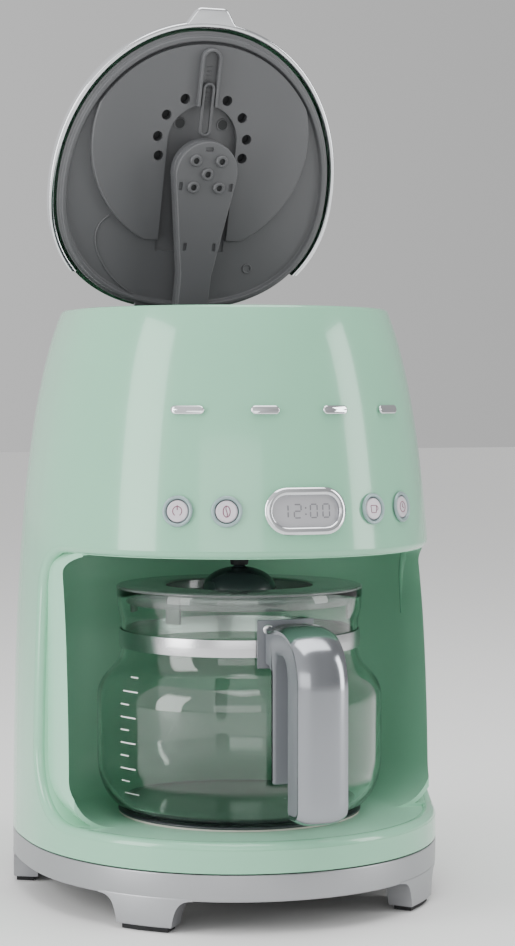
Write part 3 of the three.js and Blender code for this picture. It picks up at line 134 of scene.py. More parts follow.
mats = {
    # moulded and lacquered: crisp softbox edges over a milky green
    "green": finish("glossy pastel green plastic", "86bfa0", roughness=0.16, coat=0.45, grain=0.05, grainSize=6),
    # satin moulding: the same green with soft, spread highlights
    "bay": finish("satin green plastic", "98d0b2", roughness=0.34, grain=0.15, grainSize=1.2),
    # satin silver paint: fine metal flake, soft highlights
    "silver": finish("satin silver plastic", "a0a1a4", metallic=0.75, roughness=0.36, grain=0.12, grainSize=0.3),
    # polished plating: hard bright lines
    "chrome": finish("polished chrome plating", "dfe1e4", metallic=1, roughness=0.07, spread=0.1),
    # the grip's cover: softer, darker plating that holds wide grey gradients
    "gripChrome": finish("satin chrome plating", "9a9da2", metallic=1, roughness=0.17, spread=0.1),
    # drawn strip with its grain round the band: a bright bar with soft ends
    "steel": finish("brushed stainless steel", "c9cacc", metallic=1, roughness=0.22, grain=0.3, grainSize=0.5,
                    stretch=(1, 1, 14)),
    # sprayed and baked coat: nearly black with a faint fleck
    "coat": finish("dark non-stick coating", "33363a", roughness=0.42, grain=0.4, grainSize=0.6),
    # spark-textured moulding: an even mid grey that shows no mirror lines
    "grey": finish("fine-grained grey plastic", "545557", roughness=0.47, grain=0.45, grainSize=0.5),
    # the same with a smoother tool: a shade darker, with a faint sheen
    "greyDark": finish("satin dark grey plastic", "4c4d4f", roughness=0.42, grain=0.35, grainSize=0.5),
    # lighter satin moulding for the grip: soft long highlights
    "grip": finish("satin light grey plastic", "686b70", roughness=0.36, grain=0.2, grainSize=0.5),
    # textured moulding: reads as a dark hollow, with hardly a highlight; the same black also paints the shade
    # inside the lid's ports and steam holes and the arm's nozzles
    "black": finish("matt black plastic", "1d1f21", roughness=0.5, grain=0.35, grainSize=0.5),
    # smooth dark moulding: one small clear highlight on the dome
    "slate": finish("satin slate plastic", "2b3436", roughness=0.27, grain=0.1, grainSize=0.6),
    # soft black that takes up the light
    "rubber": finish("matt black rubber", "17181a", roughness=0.8, grain=0.5, grainSize=0.4),
    # milky and a little see-through, with a dull surface
    "silicone": finish("translucent silicone", "d9d6cc", roughness=0.45, transmission=0.25, ior=1.41),
    # thin borosilicate: clear, with a faint green in the thickness
    "glass": finish("clear borosilicate glass", "f3faf6", roughness=0.01, ior=1.47, transmission=1, spread=0.01),
    # tinted clear moulding: what lies behind shows through greyed
    "smoke": finish("translucent grey plastic", "b4b8b8", roughness=0.12, transmission=0.75, spread=0.03),
    # undyed polypropylene: frosted, shows only the shade of what is inside
    "tank": finish("natural translucent plastic", "e3e9e8", roughness=0.3, transmission=0.7),
    # silvered window: a flat pale field with a soft shine
    "lens": finish("satin silver lens", "b6b6ba", metallic=0.35, roughness=0.3, grain=0.08, grainSize=0.4),
    # pearly moulding with a hint of pink beside the green
    "cap": finish("satin pale plastic", "c9c3ca", metallic=0.1, roughness=0.32),
    # tinted satin ring that separates the cap from the wall
    "collar": finish("grey-green satin plastic", "8fa5a5", metallic=0.3, roughness=0.3),
    # lacquered glass-fibre board: dark green with a low shine
    "board": finish("solder-masked board", "2f6b45", roughness=0.4, grain=0.3, grainSize=1.5),
    # flat dark red line, no shine of its own
    "ink": finish("burgundy printed ink", "7a3b56", roughness=0.5),
    # segments a little darker than the window they stand in
    "digit": finish("grey liquid-crystal segment", "77777c", roughness=0.5),
    # fired print: opaque white dashes on the glass
    "white": finish("white ceramic print", "f1f3f1", roughness=0.5),
    # the permanent filter's cloth: a fine sparkle, drawn coarser than its real 0.2 mm so that it shows
    "weave": finish("woven steel mesh", "9a9ca0", metallic=1, roughness=0.4, grain=0.8, grainSize=0.35),
    # rolled paper: even, pale and without a reflection
    "floor": finish("matt pale studio paper", "f4f4f3", roughness=0.7, patch=0.6, spread=0.01),
}


def bezier(a, b, c, d, count=16):
    points = []
    for i in range(count + 1):
        t = i / count
        u = 1 - t
        points.append(tuple(u ** 3 * a[k] + 3 * u * u * t * b[k] + 3 * u * t * t * c[k] + t ** 3 * d[k]
                            for k in range(len(a))))
    return points


def arc(cx, cy, radius, start, end, count=10):
    # part of a circle, angles in degrees
    steps = [math.radians(start + (end - start) * i / count) for i in range(count + 1)]
    return [(cx + radius * math.cos(a), cy + radius * math.sin(a)) for a in steps]


def pill(width, height, radius=None, count=8):
    # rounded rectangle about the origin
    radius = min(width, height) / 2 - 0.02 if radius is None else radius
    x, y = width / 2 - radius, height / 2 - radius
    corners = [(x, -y, -90), (x, y, 0), (-x, y, 90), (-x, -y, 180)]
    return [p for cx, cy, a in corners for p in arc(cx, cy, radius, a, a + 90, count)]


def softened(profile, radius, closed=False, count=4):
    # rounds every corner of a profile by up to radius
    result = []
    total = len(profile)
    for i, point in enumerate(profile):
        if not closed and i in (0, total - 1):
            result.append(point)
            continue
        here = Vector(point)
        before, after = Vector(profile[i - 1]) - here, Vector(profile[(i + 1) % total]) - here
        if before.length < 1e-6 or after.length < 1e-6:
            result.append(point)
            continue
        reach = min(radius, before.length * 0.45, after.length * 0.45)
        start, end = here + before.normalized() * reach, here + after.normalized() * reach
        for k in range(count + 1):
            t = k / count
            result.append(tuple((1 - t) ** 2 * start + 2 * t * (1 - t) * here + t * t * end))
    return result


def ovalPoint(cosine, sine, plan):
    # a point of a squared oval of half width 1, deeper in front or behind as its plan says
    power = 2 / (plan["frontPower"] if sine < 0 else plan["backPower"])
    reach = plan["front"] if sine < 0 else plan["back"]
    return (math.copysign(abs(cosine) ** power, cosine), reach * math.copysign(abs(sine) ** power, sine))


def turned(profile, segments=96, plan=None, loop=False, start=0.0, sweep=360.0):
    # a profile of (radius, height) points turned about the axis, round or squared to a plan
    verts, rings, faces = [], [], []
    whole = sweep >= 360
    count = segments if whole else segments + 1
    for radius, height in profile:
        if radius < 1e-6:
            rings.append([len(verts)])
            verts.append((0, 0, height))
            continue
        ring = []
        for i in range(count):
            a = math.radians(start + sweep * i / segments)
            c, s = math.cos(a), math.sin(a)
            c, s = (0 if abs(c) < 1e-9 else c), (0 if abs(s) < 1e-9 else s)
            x, y = ovalPoint(c, s, plan) if plan else (c, s)
            ring.append(len(verts))
            verts.append((radius * x, radius * y, height))
        rings.append(ring)
    pairs = list(zip(rings, rings[1:])) + ([(rings[-1], rings[0])] if loop else [])
    for low, high in pairs:
        for i in range(segments):
            j = (i + 1) % count
            if len(low) == 1 and len(high) == 1:
                continue
            if len(low) == 1:
                faces.append((low[0], high[j], high[i]))
            elif len(high) == 1:
                faces.append((low[i], low[j], high[0]))
            else:
                faces.append((low[i], low[j], high[j], high[i]))
    if not whole:
        faces.append([ring[0] for ring in rings])
        faces.append([ring[-1] for ring in rings][::-1])
    return verts, faces


def peg(radius, low, high, segments, plan=None):
    return turned([(0, low), (radius, low), (radius, high), (0, high)], segments, plan)


def wrapped(count, size):
    # the faces of a closed strip: count turns of size points, each joined to the next and the last to the first
    return [(k * size + i, k * size + (i + 1) % size,
             (k + 1) % count * size + (i + 1) % size, (k + 1) % count * size + i)
            for k in range(count) for i in range(size)]


def offset(outline, amount):
    # moves a closed outline inwards
    total = len(outline)
    area = sum(outline[i - 1][0] * p[1] - p[0] * outline[i - 1][1] for i, p in enumerate(outline))
    side = 1 if area > 0 else -1
    result = []
    for i, point in enumerate(outline):
        before = Vector(point) - Vector(outline[i - 1])
        after = Vector(outline[(i + 1) % total]) - Vector(point)
        if before.length < 1e-7 or after.length < 1e-7:
            before = after = before if before.length > after.length else after
        normal = Vector((-before.y, before.x)).normalized() + Vector((-after.y, after.x)).normalized()
        scale = max(normal.length_squared / 2, 0.35)
        result.append(tuple(Vector(point) + normal * side * amount / scale))
    return result


def prism(outline, low, high, bevel=0.6, steps=3):
    # a plate with rounded edges, drawn up from low to high
    clean = [p for i, p in enumerate(outline) if (Vector(p) - Vector(outline[i - 1])).length > 1e-4]
    levels = []
    for i in range(steps + 1):
        a = math.pi / 2 * i / steps
        levels.append((bevel * (1 - math.sin(a)), low + bevel * (1 - math.cos(a))))
    levels += [(inset, low + high - z) for inset, z in reversed(levels)]
    verts, faces = [], []
    for inset, z in levels:
        verts += [(x, y, z) for x, y in offset(clean, inset)]
    n = len(clean)
    for k in range(len(levels) - 1):
        for i in range(n):
            j = (i + 1) % n
            faces.append((k * n + i, k * n + j, (k + 1) * n + j, (k + 1) * n + i))
    faces.append(tuple(range(n))[::-1])
    faces.append(tuple(range(n * (len(levels) - 1), n * len(levels))))
    return verts, faces


def block(xs, ys, zs):
    # a box from its three pairs of limits
    outline = [(xs[0], ys[0]), (xs[1], ys[0]), (xs[1], ys[1]), (xs[0], ys[1])]
    verts = [(x, y, z) for z in zs for x, y in outline]
    faces = [(3, 2, 1, 0), (4, 5, 6, 7)] + [(i, (i + 1) % 4, 4 + (i + 1) % 4, 4 + i) for i in range(4)]
    return verts, faces


def moved(shape, matrix):
    verts, faces = shape
    return [tuple(matrix @ Vector(v)) for v in verts], faces


def together(*shapes):
    verts, faces = [], []
    for some, more in shapes:
        faces += [tuple(len(verts) + i for i in face) for face in more]
        verts += some
    return verts, faces


# outlines drawn in side view (y, z) run across x; outlines in front view (x, z) run along y
acrossX = Matrix(((0, 0, 1, 0), (1, 0, 0, 0), (0, 1, 0, 0), (0, 0, 0, 1)))
alongY = Matrix(((1, 0, 0, 0), (0, 0, 1, 0), (0, 1, 0, 0), (0, 0, 0, 1)))
facing = swung(90, "X")  # turned shapes stand on their base with +Z outwards
sideways = swung(90, "Y")


def build(name, shape, material, place=toRow, sharp=32):
    # one welded, smooth-shaded object; sharp is the angle past which an edge stays hard
    mesh = bpy.data.meshes.new(name)
    mesh.from_pydata(shape[0], [], shape[1])
    mesh.transform(place)
    work = bmesh.new()
    work.from_mesh(mesh)
    bmesh.ops.remove_doubles(work, verts=work.verts, dist=1e-7)
    bmesh.ops.recalc_face_normals(work, faces=work.faces)
    work.to_mesh(mesh)
    work.free()
    mesh.polygons.foreach_set("use_smooth", [True] * len(mesh.polygons))
    mesh.set_sharp_from_angle(angle=math.radians(sharp))
    obj = bpy.data.objects.new(name.replace(" ", "_") + "_look", mesh)
    bpy.context.scene.collection.objects.link(obj)
    mesh.materials.append(mats[material])
    return obj


def settled(obj):
    # the object's modifiers, applied
    mesh = bpy.data.meshes.new_from_object(obj.evaluated_get(bpy.context.evaluated_depsgraph_get()))
    old = obj.data
    obj.modifiers.clear()
    obj.data = mesh
    bpy.data.meshes.remove(old)
    return obj


def combine(obj, tool, operation="DIFFERENCE"):
    # cuts, joins or keeps the shared part; the tool is used up
    change = obj.modifiers.new("combine", "BOOLEAN")
    change.operation = operation
    change.solver = "EXACT"
    change.object = tool
    bpy.context.view_layer.update()
    settled(obj)
    bpy.data.objects.remove(tool)
    return obj


def smooth(obj, angle=32):
    obj.data.polygons.foreach_set("use_smooth", [True] * len(obj.data.polygons))
    obj.data.set_sharp_from_angle(angle=math.radians(angle))
    return obj


def rounded(obj, width, segments=3, angle=40):
    # a bevel along the hard edges, width in mm
    edge = obj.modifiers.new("edge", "BEVEL")
    edge.width = width * mm
    edge.segments = segments
    edge.limit_method = "ANGLE"
    edge.angle_limit = math.radians(angle)
    edge.harden_normals = True
    return obj


def show(obj, body, slot, *nodes):
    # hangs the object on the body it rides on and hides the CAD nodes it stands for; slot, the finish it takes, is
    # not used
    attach(obj, body)
    if nodes:
        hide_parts(*nodes)
    return obj


def tube(name, points, radius, material, closed=False, place=toRow, sides=4):
    curve = bpy.data.curves.new(name, "CURVE")
    curve.dimensions = "3D"
    curve.bevel_depth = radius
    curve.bevel_resolution = sides
    curve.use_fill_caps = not closed
    line = curve.splines.new("POLY")
    line.points.add(len(points) - 1)
    for spot, point in zip(line.points, points):
        spot.co = (*point, 1)
    line.use_cyclic_u = closed
    holder = bpy.data.objects.new(name, curve)
    bpy.context.scene.collection.objects.link(holder)
    bpy.context.view_layer.update()
    mesh = bpy.data.meshes.new_from_object(holder.evaluated_get(bpy.context.evaluated_depsgraph_get()))
    bpy.data.objects.remove(holder)
    mesh.transform(place)
    mesh.materials.clear()
    mesh.materials.append(mats[material])
    obj = bpy.data.objects.new(name.replace(" ", "_") + "_look", mesh)
    bpy.context.scene.collection.objects.link(obj)
    return smooth(obj, 60)


# body: a squared oval in plan with nearly upright sides and a shouldered top
bodyLook = {
    "foot": 33,
    "lowEdge": 33.4,
    "waistInset": 0.6,
    "waistHandle": 0.256,
    "shoulderHandle": 0.773,
    "topHalf": 93.6,
    "wall": 2.8,
    "rim": 1.3,  # roll of the shell's upper edge
    "lipRadius": 4.2,  # roll of the shell round the bay
    "glandBore": 7.3,
    "plan": {"front": 1.088, "back": 1.0, "frontPower": 2.05, "backPower": 2.7},
}
plan = bodyLook["plan"]
bodyFoot = bodyLook["foot"]
bodyHeight = shellTop - bodyFoot
sideCurve = bezier(
    (baseHalf, bodyFoot),
    (baseHalf - bodyLook["waistInset"], bodyFoot + bodyLook["waistHandle"] * bodyHeight),
    (baseHalf, bodyFoot + bodyLook["shoulderHandle"] * bodyHeight),
    (bodyLook["topHalf"], shellTop), 160)


def bodyHalf(z):
    if z <= bodyFoot:
        return baseHalf
    for (w0, z0), (w1, z1) in zip(sideCurve, sideCurve[1:]):
        if z <= z1:
            return w0 + (w1 - w0) * (z - z0) / (z1 - z0)
    return bodyLook["topHalf"]


def planAt(y):
    # the power and reach of the plan's front or back half
    return (plan["frontPower"], plan["front"]) if y < 0 else (plan["backPower"], plan["back"])


def frontFace(x, z, inset=0.0):
    half = bodyHalf(z) - inset
    share = max(0, 1 - abs(x / half) ** plan["frontPower"])
    return -plan["front"] * half * share ** (1 / plan["frontPower"])


def sideFace(y, z, inset=0.0):
    half = bodyHalf(z) - inset
    power, reach = planAt(y)
    return half * max(0, 1 - abs(y / (reach * half)) ** power) ** (1 / power)


def frontMatrix(x, z):
    # a frame on the front wall whose -Y looks straight out
    step = 0.5
    across = (frontFace(x + step, z) - frontFace(x - step, z)) / (2 * step)
    up = (frontFace(x, z + step) - frontFace(x, z - step)) / (2 * step)
    inwards = Vector((-across, 1, -up)).normalized()
    turn = Vector((0, 1, 0)).rotation_difference(inwards).to_matrix().to_4x4()
    return shifted(x, frontFace(x, z), z) @ turn


def wallLine(inset, low, high, count):
    # the wall's side profile, drawn up from low to high
    return [(bodyHalf(z) - inset, z) for z in [low + (high - low) * i / count for i in range(count + 1)]]


bayLook = {
    "floor": 48,
    "lip": 50,  # lower edge of the opening, a step above the floor
    "top": 202,
    "edge": -12,  # how far back the opening cuts into the sides
    "lowRadius": 39,
    "highRadius": 24,
    "half": 111,
    "back": 68,
    "wall": 2.5,
    "lowFillet": 26,
    "highFillet": 12,
    "rim": 4,  # the liner's rim behind the shell's edge
    "gap": 0.3,
    "plateBore": 69.5,
    "stopBore": 13,
    "upright": (60, 190),  # heights between which the opening's edge is drawn by height
    "spacing": 2.0,  # between points along that edge
    "plan": {"front": 1.4, "frontPower": 8, "backPower": 2.8},
}
wide = [-200, 200]  # limits of a cut that passes right through the machine


def bayLine(grow, front=-260):
    # the opening in side view (y, z), grown outwards
    low, high, edge = bayLook["lip"] - grow, bayLook["top"] + grow, bayLook["edge"] + grow
    lowR, highR = bayLook["lowRadius"] + grow, bayLook["highRadius"] + grow
    return ([(front, low)] + arc(edge - lowR, low + lowR, lowR, -90, 0, 20)
            + arc(edge - highR, high - highR, highR, 0, 90, 16) + [(front, high)])


def bayCutter(grow):
    return build("bay cutter", moved(prism(bayLine(grow), -260, 260, 0.0, 1), acrossX), "green")


def bayRoute(grow, inset):
    # the same line laid on the body's surface, all the way round the opening
    line = bayLine(grow, front=-200)
    stops = []
    for a, b in zip(line, line[1:]):
        count = max(1, int(math.dist(a, b) / bayLook["spacing"]))
        stops += [tuple(p + (q - p) * i / count for p, q in zip(a, b)) for i in range(count)]
    stops.append(line[-1])
    lowest, highest = bayLook["upright"]
    right = []
    for y, z in stops:
        if y > -plan["front"] * (bodyHalf(z) - inset) + 1e-6:
            x = sideFace(y, z, inset)
            # front runs are drawn by x, the sides by height, so that points stay evenly spaced
            if x >= 1 and (x > 0.8 * bodyHalf(z) or lowest < z < highest):
                right.append((x, y, z))

    def across(z, x0, x1, count=64):
        xs = [x0 + (x1 - x0) * i / count for i in range(1, count)]
        return [(x, frontFace(x, z, inset), z) for x in xs]

    first, last = right[0], right[-1]
    left = [(-x, y, z) for x, y, z in reversed(right)]
    return right + across(last[2], last[0], -last[0]) + left + across(first[2], -first[0], first[0])


print("stage: housing")
rim = bodyLook["rim"]
rimBase = shellTop - rim
outerSide = wallLine(0, bodyLook["lowEdge"], rimBase, 64)
innerSide = wallLine(bodyLook["wall"], bodyLook["lowEdge"], rimBase, 24)[::-1]
rimTop = [(bodyHalf(shellTop) - rim + rim * math.cos(a), rimBase + rim * math.sin(a))
          for a in [math.pi / 2 * i / 4 for i in range(1, 5)]]
shellShape = turned([*outerSide, *rimTop, *innerSide], 192, plan, loop=True)
shell = build("housing shell", shellShape, "green", sharp=40)
combine(shell, bayCutter(bodyLook["lipRadius"]))

controls = {
    "height": 228,
    "display": (48, 26),
    "frame": 4.4,  # width of the chrome frame
    "frameProud": (0.2, 2.4),
    "displayHole": (43, 21),
    "lens": (42.2, 20.2),
    "lensDepth": (-1.6, 0.1),
    "buttons": [-66.3, -43, 43, 66.3],
    "buttonHole": 7.6,
    "badges": [-59.9, -20.7, 20.7, 59.9],
    "badgeHeight": 283,
    "badge": (15.7, 5),
    "badgeProud": (0.1, 2.1),
}
onFront = shifted(0, 0, controls["height"]) @ alongY
holes = [moved(prism(pill(*controls["displayHole"]), -200, -60, 0.0, 1), onFront)]
holes += [moved(peg(controls["buttonHole"], -15, 15, 40), frontMatrix(x, controls["height"]) @ facing)
          for x in controls["buttons"]]
combine(shell, build("control holes", together(*holes), "green"))
glandLow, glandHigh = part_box("cord_gland")
atGland = shifted(0, baseHalf + 20, (glandLow.z + glandHigh.z) / 2 / mm) @ facing
combine(shell, build("gland hole", moved(peg(bodyLook["glandBore"], 0, 40, 40), atGland), "green"))


def trueNormals(obj):
    # reflections follow the true curved wall and not the cut mesh
    mesh = obj.data
    toPlan = toRow.inverted()
    wall = bodyLook["wall"]
    normals = []
    for vertex in mesh.vertices:
        x, y, z = toPlan @ vertex.co
        power, reach = planAt(y)
        size = (abs(x) ** power + abs(y / reach) ** power) ** (1 / power)
        slope = (bodyHalf(z + 0.5) - bodyHalf(z - 0.5)) if z > 34 else 0.0
        gx = math.copysign(abs(x / size) ** (power - 1), x)
        gy = math.copysign(abs(y / reach / size) ** (power - 1), y) / reach
        outwards = Vector((gx, gy, -slope)).normalized()
        depth = bodyHalf(z) - size
        if z > shellTop - 1.4 or 0.3 < depth < wall - 0.3:
            normals.append(None)  # on a cut edge, where the mesh's own normal is right
        else:
            normals.append(outwards if depth <= 0.3 else -outwards)
    loops = []
    for polygon in mesh.polygons:
        for index in polygon.loop_indices:
            wanted = normals[mesh.loops[index].vertex_index]
            facingOut = wanted is not None and wanted.dot(polygon.normal) > 0.8
            loops.append(wanted if facingOut else Vector((0, 0, 0)))
    mesh.normals_split_custom_set(loops)


smooth(shell, 30)
trueNormals(shell)
show(shell, "housing", "body_green", "housing_shell")
lipRadius = bodyLook["lipRadius"]
lip = tube("bay lip", bayRoute(lipRadius, lipRadius), lipRadius, "green", True, sides=6)
show(lip, "housing", "body_green", "housing_shell")

print("stage: bay")


def baySolid(grow):
    half = bayLook["half"] + grow
    low, high = bayLook["floor"] - grow, bayLook["top"] + grow
    lowR, highR = bayLook["lowFillet"] + grow, bayLook["highFillet"] + grow
    profile = [(0, low)]
    profile += arc(half - lowR, low + lowR, lowR, -90, 0, 12) + arc(half - highR, high - highR, highR, 0, 90, 8)
    profile.append((0, high))
    depth = (bayLook["back"] - bayLook["edge"] + grow) / half
    return moved(turned(profile, 112, {**bayLook["plan"], "back": depth}), shifted(0, bayLook["edge"]))


liner = build("bay liner", baySolid(bayLook["wall"]), "bay")
bayRim = bayCutter(bayLook["rim"])
combine(bayRim, bayCutter(bayLook["gap"]))
rimBlock = block(wide, [-200, bayLook["edge"] + bayLook["rim"]],
                 [bayLook["floor"] - bayLook["wall"], bayLook["top"] + bayLook["rim"]])
combine(bayRim, build("rim block", rimBlock, "bay"), "INTERSECT")
combine(liner, bayRim, "UNION")
inner = wallLine(bodyLook["wall"] + bayLook["gap"], 34, shellTop - 20, 48)
insideShape = turned([(0, inner[0][1]), *inner, (0, inner[-1][1])], 144, plan)
combine(liner, build("inside", insideShape, "bay"), "INTERSECT")
combine(liner, build("bay space", baySolid(0), "bay"))
openFront = block(wide, [-300, bayLook["edge"] - bayLook["lowRadius"]], [bayLook["floor"], bayLook["top"]])
combine(liner, build("open front", openFront, "bay"))
bores = together(moved(peg(bayLook["plateBore"], 38, 49, 96), shifted(0, brewY)),
                 moved(peg(bayLook["stopBore"], 195, 212, 64), shifted(0, brewY)))
combine(liner, build("bores", bores, "bay"))
liner.data.materials.clear()
liner.data.materials.append(mats["bay"])
smooth(liner, 30)
show(liner, "housing", "bay_green", "bay_liner")

print("stage: base")
baseLook = {
    "low": 18,
    "high": 32.7,
    "wall": 3,
    "depth": 14,  # of a foot, from the outside in
    "footTop": 58,
    "footToe": 33,
    "pad": 2.7,
    "angles": [-46.6, -133.4, 25.7, 154.3],
}


def basePlace(angle, inset):
    x, y = ovalPoint(math.cos(math.radians(angle)), math.sin(math.radians(angle)), plan)
    spot = Vector((x, y)) * (baseHalf - inset)
    return shifted(spot.x, spot.y) @ Matrix.Rotation(math.atan2(spot.y, spot.x), 4, "Z")


def footLine():
    # a foot seen from outside, flared into the ring above it
    top, toe, low, high = baseLook["footTop"] / 2, baseLook["footToe"] / 2, baseLook["pad"], baseLook["low"]
    right = bezier((toe, low), (toe + 2, high - 3), (top - 7.5, high), (top, high), 14)
    line = [(-x, z) for x, z in reversed(right)]
    return [(-top, high + 1.5)] + line + right + [(top, high + 1.5)]


low, high, pad = baseLook["low"], baseLook["high"], baseLook["pad"]
ringIn, footIn = baseHalf - baseLook["wall"], baseHalf - baseLook["depth"]
ringLine = softened([(ringIn, low), (baseHalf - 0.2, low), (baseHalf, high), (ringIn, high)], 0.8, closed=True)
base = build("base ring", turned(ringLine, 192, plan, loop=True), "silver")
blankLine = softened([(footIn, pad), (baseHalf - 0.3, pad), (baseHalf, 19.5), (ringIn, 19.5), (ringIn, 17.7),
                      (footIn, 17.7)], 0.9, closed=True)
blank = turned(blankLine, 256, plan, loop=True)
for index, angle in enumerate(baseLook["angles"]):
    leg = build(f"foot {index + 1}", blank, "silver")
    shape = moved(prism(footLine(), -26, 30, 0.0, 1), basePlace(angle, baseLook["depth"]) @ acrossX)
    combine(leg, build("foot outline", shape, "silver"), "INTERSECT")
    smooth(leg, 30)
    rounded(leg, 0.8, 3, 50)
    show(leg, "housing", "base_silver", "base_ring")
show(base, "housing", "base_silver", "base_ring")

print("stage: controls")


def frontBand(outline, x, z, low, high):
    # a plate that follows the front wall: outline (across, up), from low to high above it
    verts, faces = prism(outline, low, high, min(0.9, (high - low) * 0.45), 4)
    return [(x + u, frontFace(x + u, z + v, -h), z + v) for u, v, h in verts], faces


def frontRing(outline, width, x, z, low, high, count=12):
    # a rounded frame that follows the front wall
    verts = []
    for k in range(count):
        a = 2 * math.pi * k / count
        h = (low + high) / 2 + (high - low) / 2 * math.sin(a)
        verts += [(x + u, frontFace(x + u, z + v, -h), z + v)
                  for u, v in offset(outline, width / 2 - width / 2 * math.cos(a))]
    return verts, wrapped(count, len(outline))


def dense(outline, spacing=1.0):
    # the same outline with points no further apart than spacing, or nearly
    result = []
    for i, point in enumerate(outline):
        before = outline[i - 1]
        count = max(1, int(math.dist(before, point) / spacing))
        result += [tuple(p + (q - p) * k / count for p, q in zip(before, point)) for k in range(count)]
    return result


displayLine = dense(pill(*controls["display"], count=14))
bezelShape = frontRing(displayLine, controls["frame"], 0, controls["height"], *controls["frameProud"])
bezel = build("display bezel", bezelShape, "chrome", sharp=60)
show(bezel, "housing", "chrome", "display_bezel")


def gridPlate(width, height, x, z, low, high, columns=48):
    # a pill-shaped plate cut into narrow strips so that it bends with the wall
    verts, faces = [], []
    radius = height / 2 - 0.02
    for i in range(columns + 1):
        u = -width / 2 + width * i / columns
        over = max(0, abs(u) - (width / 2 - radius))
        reach = math.sqrt(max(0.01, radius ** 2 - over ** 2))
        verts += [(x + u, frontFace(x + u, z + v, -h), z + v) for v in (-reach, reach) for h in (low, high)]
    for a in range(0, 4 * columns, 4):
        b = a + 4
        faces += [(a, a + 2, b + 2, b), (a + 1, b + 1, b + 3, a + 3),
                  (a, b, b + 1, a + 1), (a + 2, a + 3, b + 3, b + 2)]
    last = 4 * columns
    faces += [(0, 1, 3, 2), (last, last + 2, last + 3, last + 1)]
    return verts, faces


windowShape = gridPlate(*controls["lens"], 0, controls["height"], *controls["lensDepth"])
window = build("display lens", windowShape, "lens", sharp=40)
show(window, "housing", "display_satin", "display_lens")

clockLook = {
    "lift": 0.12,
    "thick": 0.14,
    # each segment's middle, width and height
    "segments": {
        "top": (0, 3.6, 3.2, 0.7), "middle": (0, 0, 3.2, 0.7), "bottom": (0, -3.6, 3.2, 0.7),
        "upLeft": (-2, 1.8, 0.7, 2.8), "upRight": (2, 1.8, 0.7, 2.8),
        "lowLeft": (-2, -1.8, 0.7, 2.8), "lowRight": (2, -1.8, 0.7, 2.8)},
    "figures": {
        "one": ["upRight", "lowRight"], "two": ["top", "upRight", "middle", "lowLeft", "bottom"],
        "zero": ["top", "upLeft", "upRight", "lowLeft", "lowRight", "bottom"]},
    "shown": [(-12.5, "one"), (-5, "two"), (4.5, "zero"), (12, "zero")],
    "dots": [(-0.3, -1.7), (-0.3, 1.7)],
    "dotSize": 0.9,
}


def segmentBar(u, v, across, tall):
    outline = dense(pill(across, tall, min(across, tall) * 0.3, 2), 0.6)
    lift = clockLook["lift"]
    return frontBand(outline, u, controls["height"] + v, lift, lift + clockLook["thick"])


digits = []
for spot, figure in clockLook["shown"]:
    for key in clockLook["figures"][figure]:
        u, v, across, tall = clockLook["segments"][key]
        digits.append(segmentBar(spot + u, v, across, tall))
digits += [segmentBar(u, v, clockLook["dotSize"], clockLook["dotSize"]) for u, v in clockLook["dots"]]
show(build("clock digits", together(*digits), "digit"), "housing", "display_satin")

badgeLine = dense(pill(*controls["badge"], count=10), 0.8)
for index, x in enumerate(controls["badges"]):
    shape = frontBand(badgeLine, x, controls["badgeHeight"], *controls["badgeProud"])
    show(build(f"badge bar {index + 1}", shape, "chrome", sharp=60), "housing", "chrome", f"badge_bar_{index + 1}")


def ellipse(across, tall):
    return [(across * math.cos(a / 12 * math.pi), tall * math.sin(a / 12 * math.pi)) for a in range(25)]


buttonLook = {
    "collar": [(6.5, -3), (7.4, -3), (7.4, 0.4), (8.65, 0.5), (8.65, 1.3), (8.1, 1.95), (7.2, 1.95), (6.5, 1.2)],
    "collarEdge": 0.4,
    "cap": [(0, -3), (6.0, -3), (6.1, 1.0), (5.4, 1.6), (0, 1.35)],
    "capEdge": 0.5,
    "inkHeight": 1.45,
    # each icon's lines with their half widths: power ring, bean, cup, clock
    "icons": [
        [(arc(0, 0, 2.6, -60, 240, 20), 0.2625), ([(0, 0.6), (0, 3.2)], 0.2625)],
        [(ellipse(1.9, 3), 0.2625), (bezier((0, -2.9), (1.3, -1), (-1.3, 1), (0, 2.9), 12), 0.225)],
        [([(-2.4, 1.8), (2.0, 1.8), (1.6, -2.2), (-2.0, -2.2), (-2.4, 1.8)], 0.2625),
         (arc(2.1, 0.2, 1.1, -80, 80, 10), 0.225)],
        [(ellipse(2.9, 2.9), 0.2625), ([(0, 2), (0, 0), (1.5, -0.6)], 0.225)],
    ],
}
collarLine = softened(buttonLook["collar"], buttonLook["collarEdge"], closed=True)
capLine = softened(buttonLook["cap"], buttonLook["capEdge"])
for index, (x, icon) in enumerate(zip(controls["buttons"], buttonLook["icons"])):
    number = index + 1
    wall = toRow @ frontMatrix(x, controls["height"]) @ facing
    collar = build(f"button collar {number}", turned(collarLine, 64, loop=True), "collar", wall)
    show(collar, "housing", "collar_grey", f"button_collar_{number}")
    button = build(f"button {number}", turned(capLine, 64), "cap", wall)
    show(button, f"button_{number}", "button_satin", f"button_cap_{number}")
    for line, radius in icon:
        stroke = [(u, v, buttonLook["inkHeight"]) for u, v in line]
        mark = tube(f"button {number} icon", stroke, radius, "ink", False, wall, 2)
        show(mark, f"button_{number}", "button_satin")

print("stage: warming plate and carafe")
plateLook = {
    "section": [(0, 49.3), (67, 49.3), (67, 43), (68.4, 43), (68.4, 49.3), (71, 49.3), (71, 50.5), (66, 50.5),
                (64.5, 50.1), (0, 50.1)],
    "edge": 0.5,
}
plate = build("warming plate", turned(softened(plateLook["section"], plateLook["edge"]), 128), "coat", atBrew)
show(plate, "housing", "plate_coat", "warming_plate")

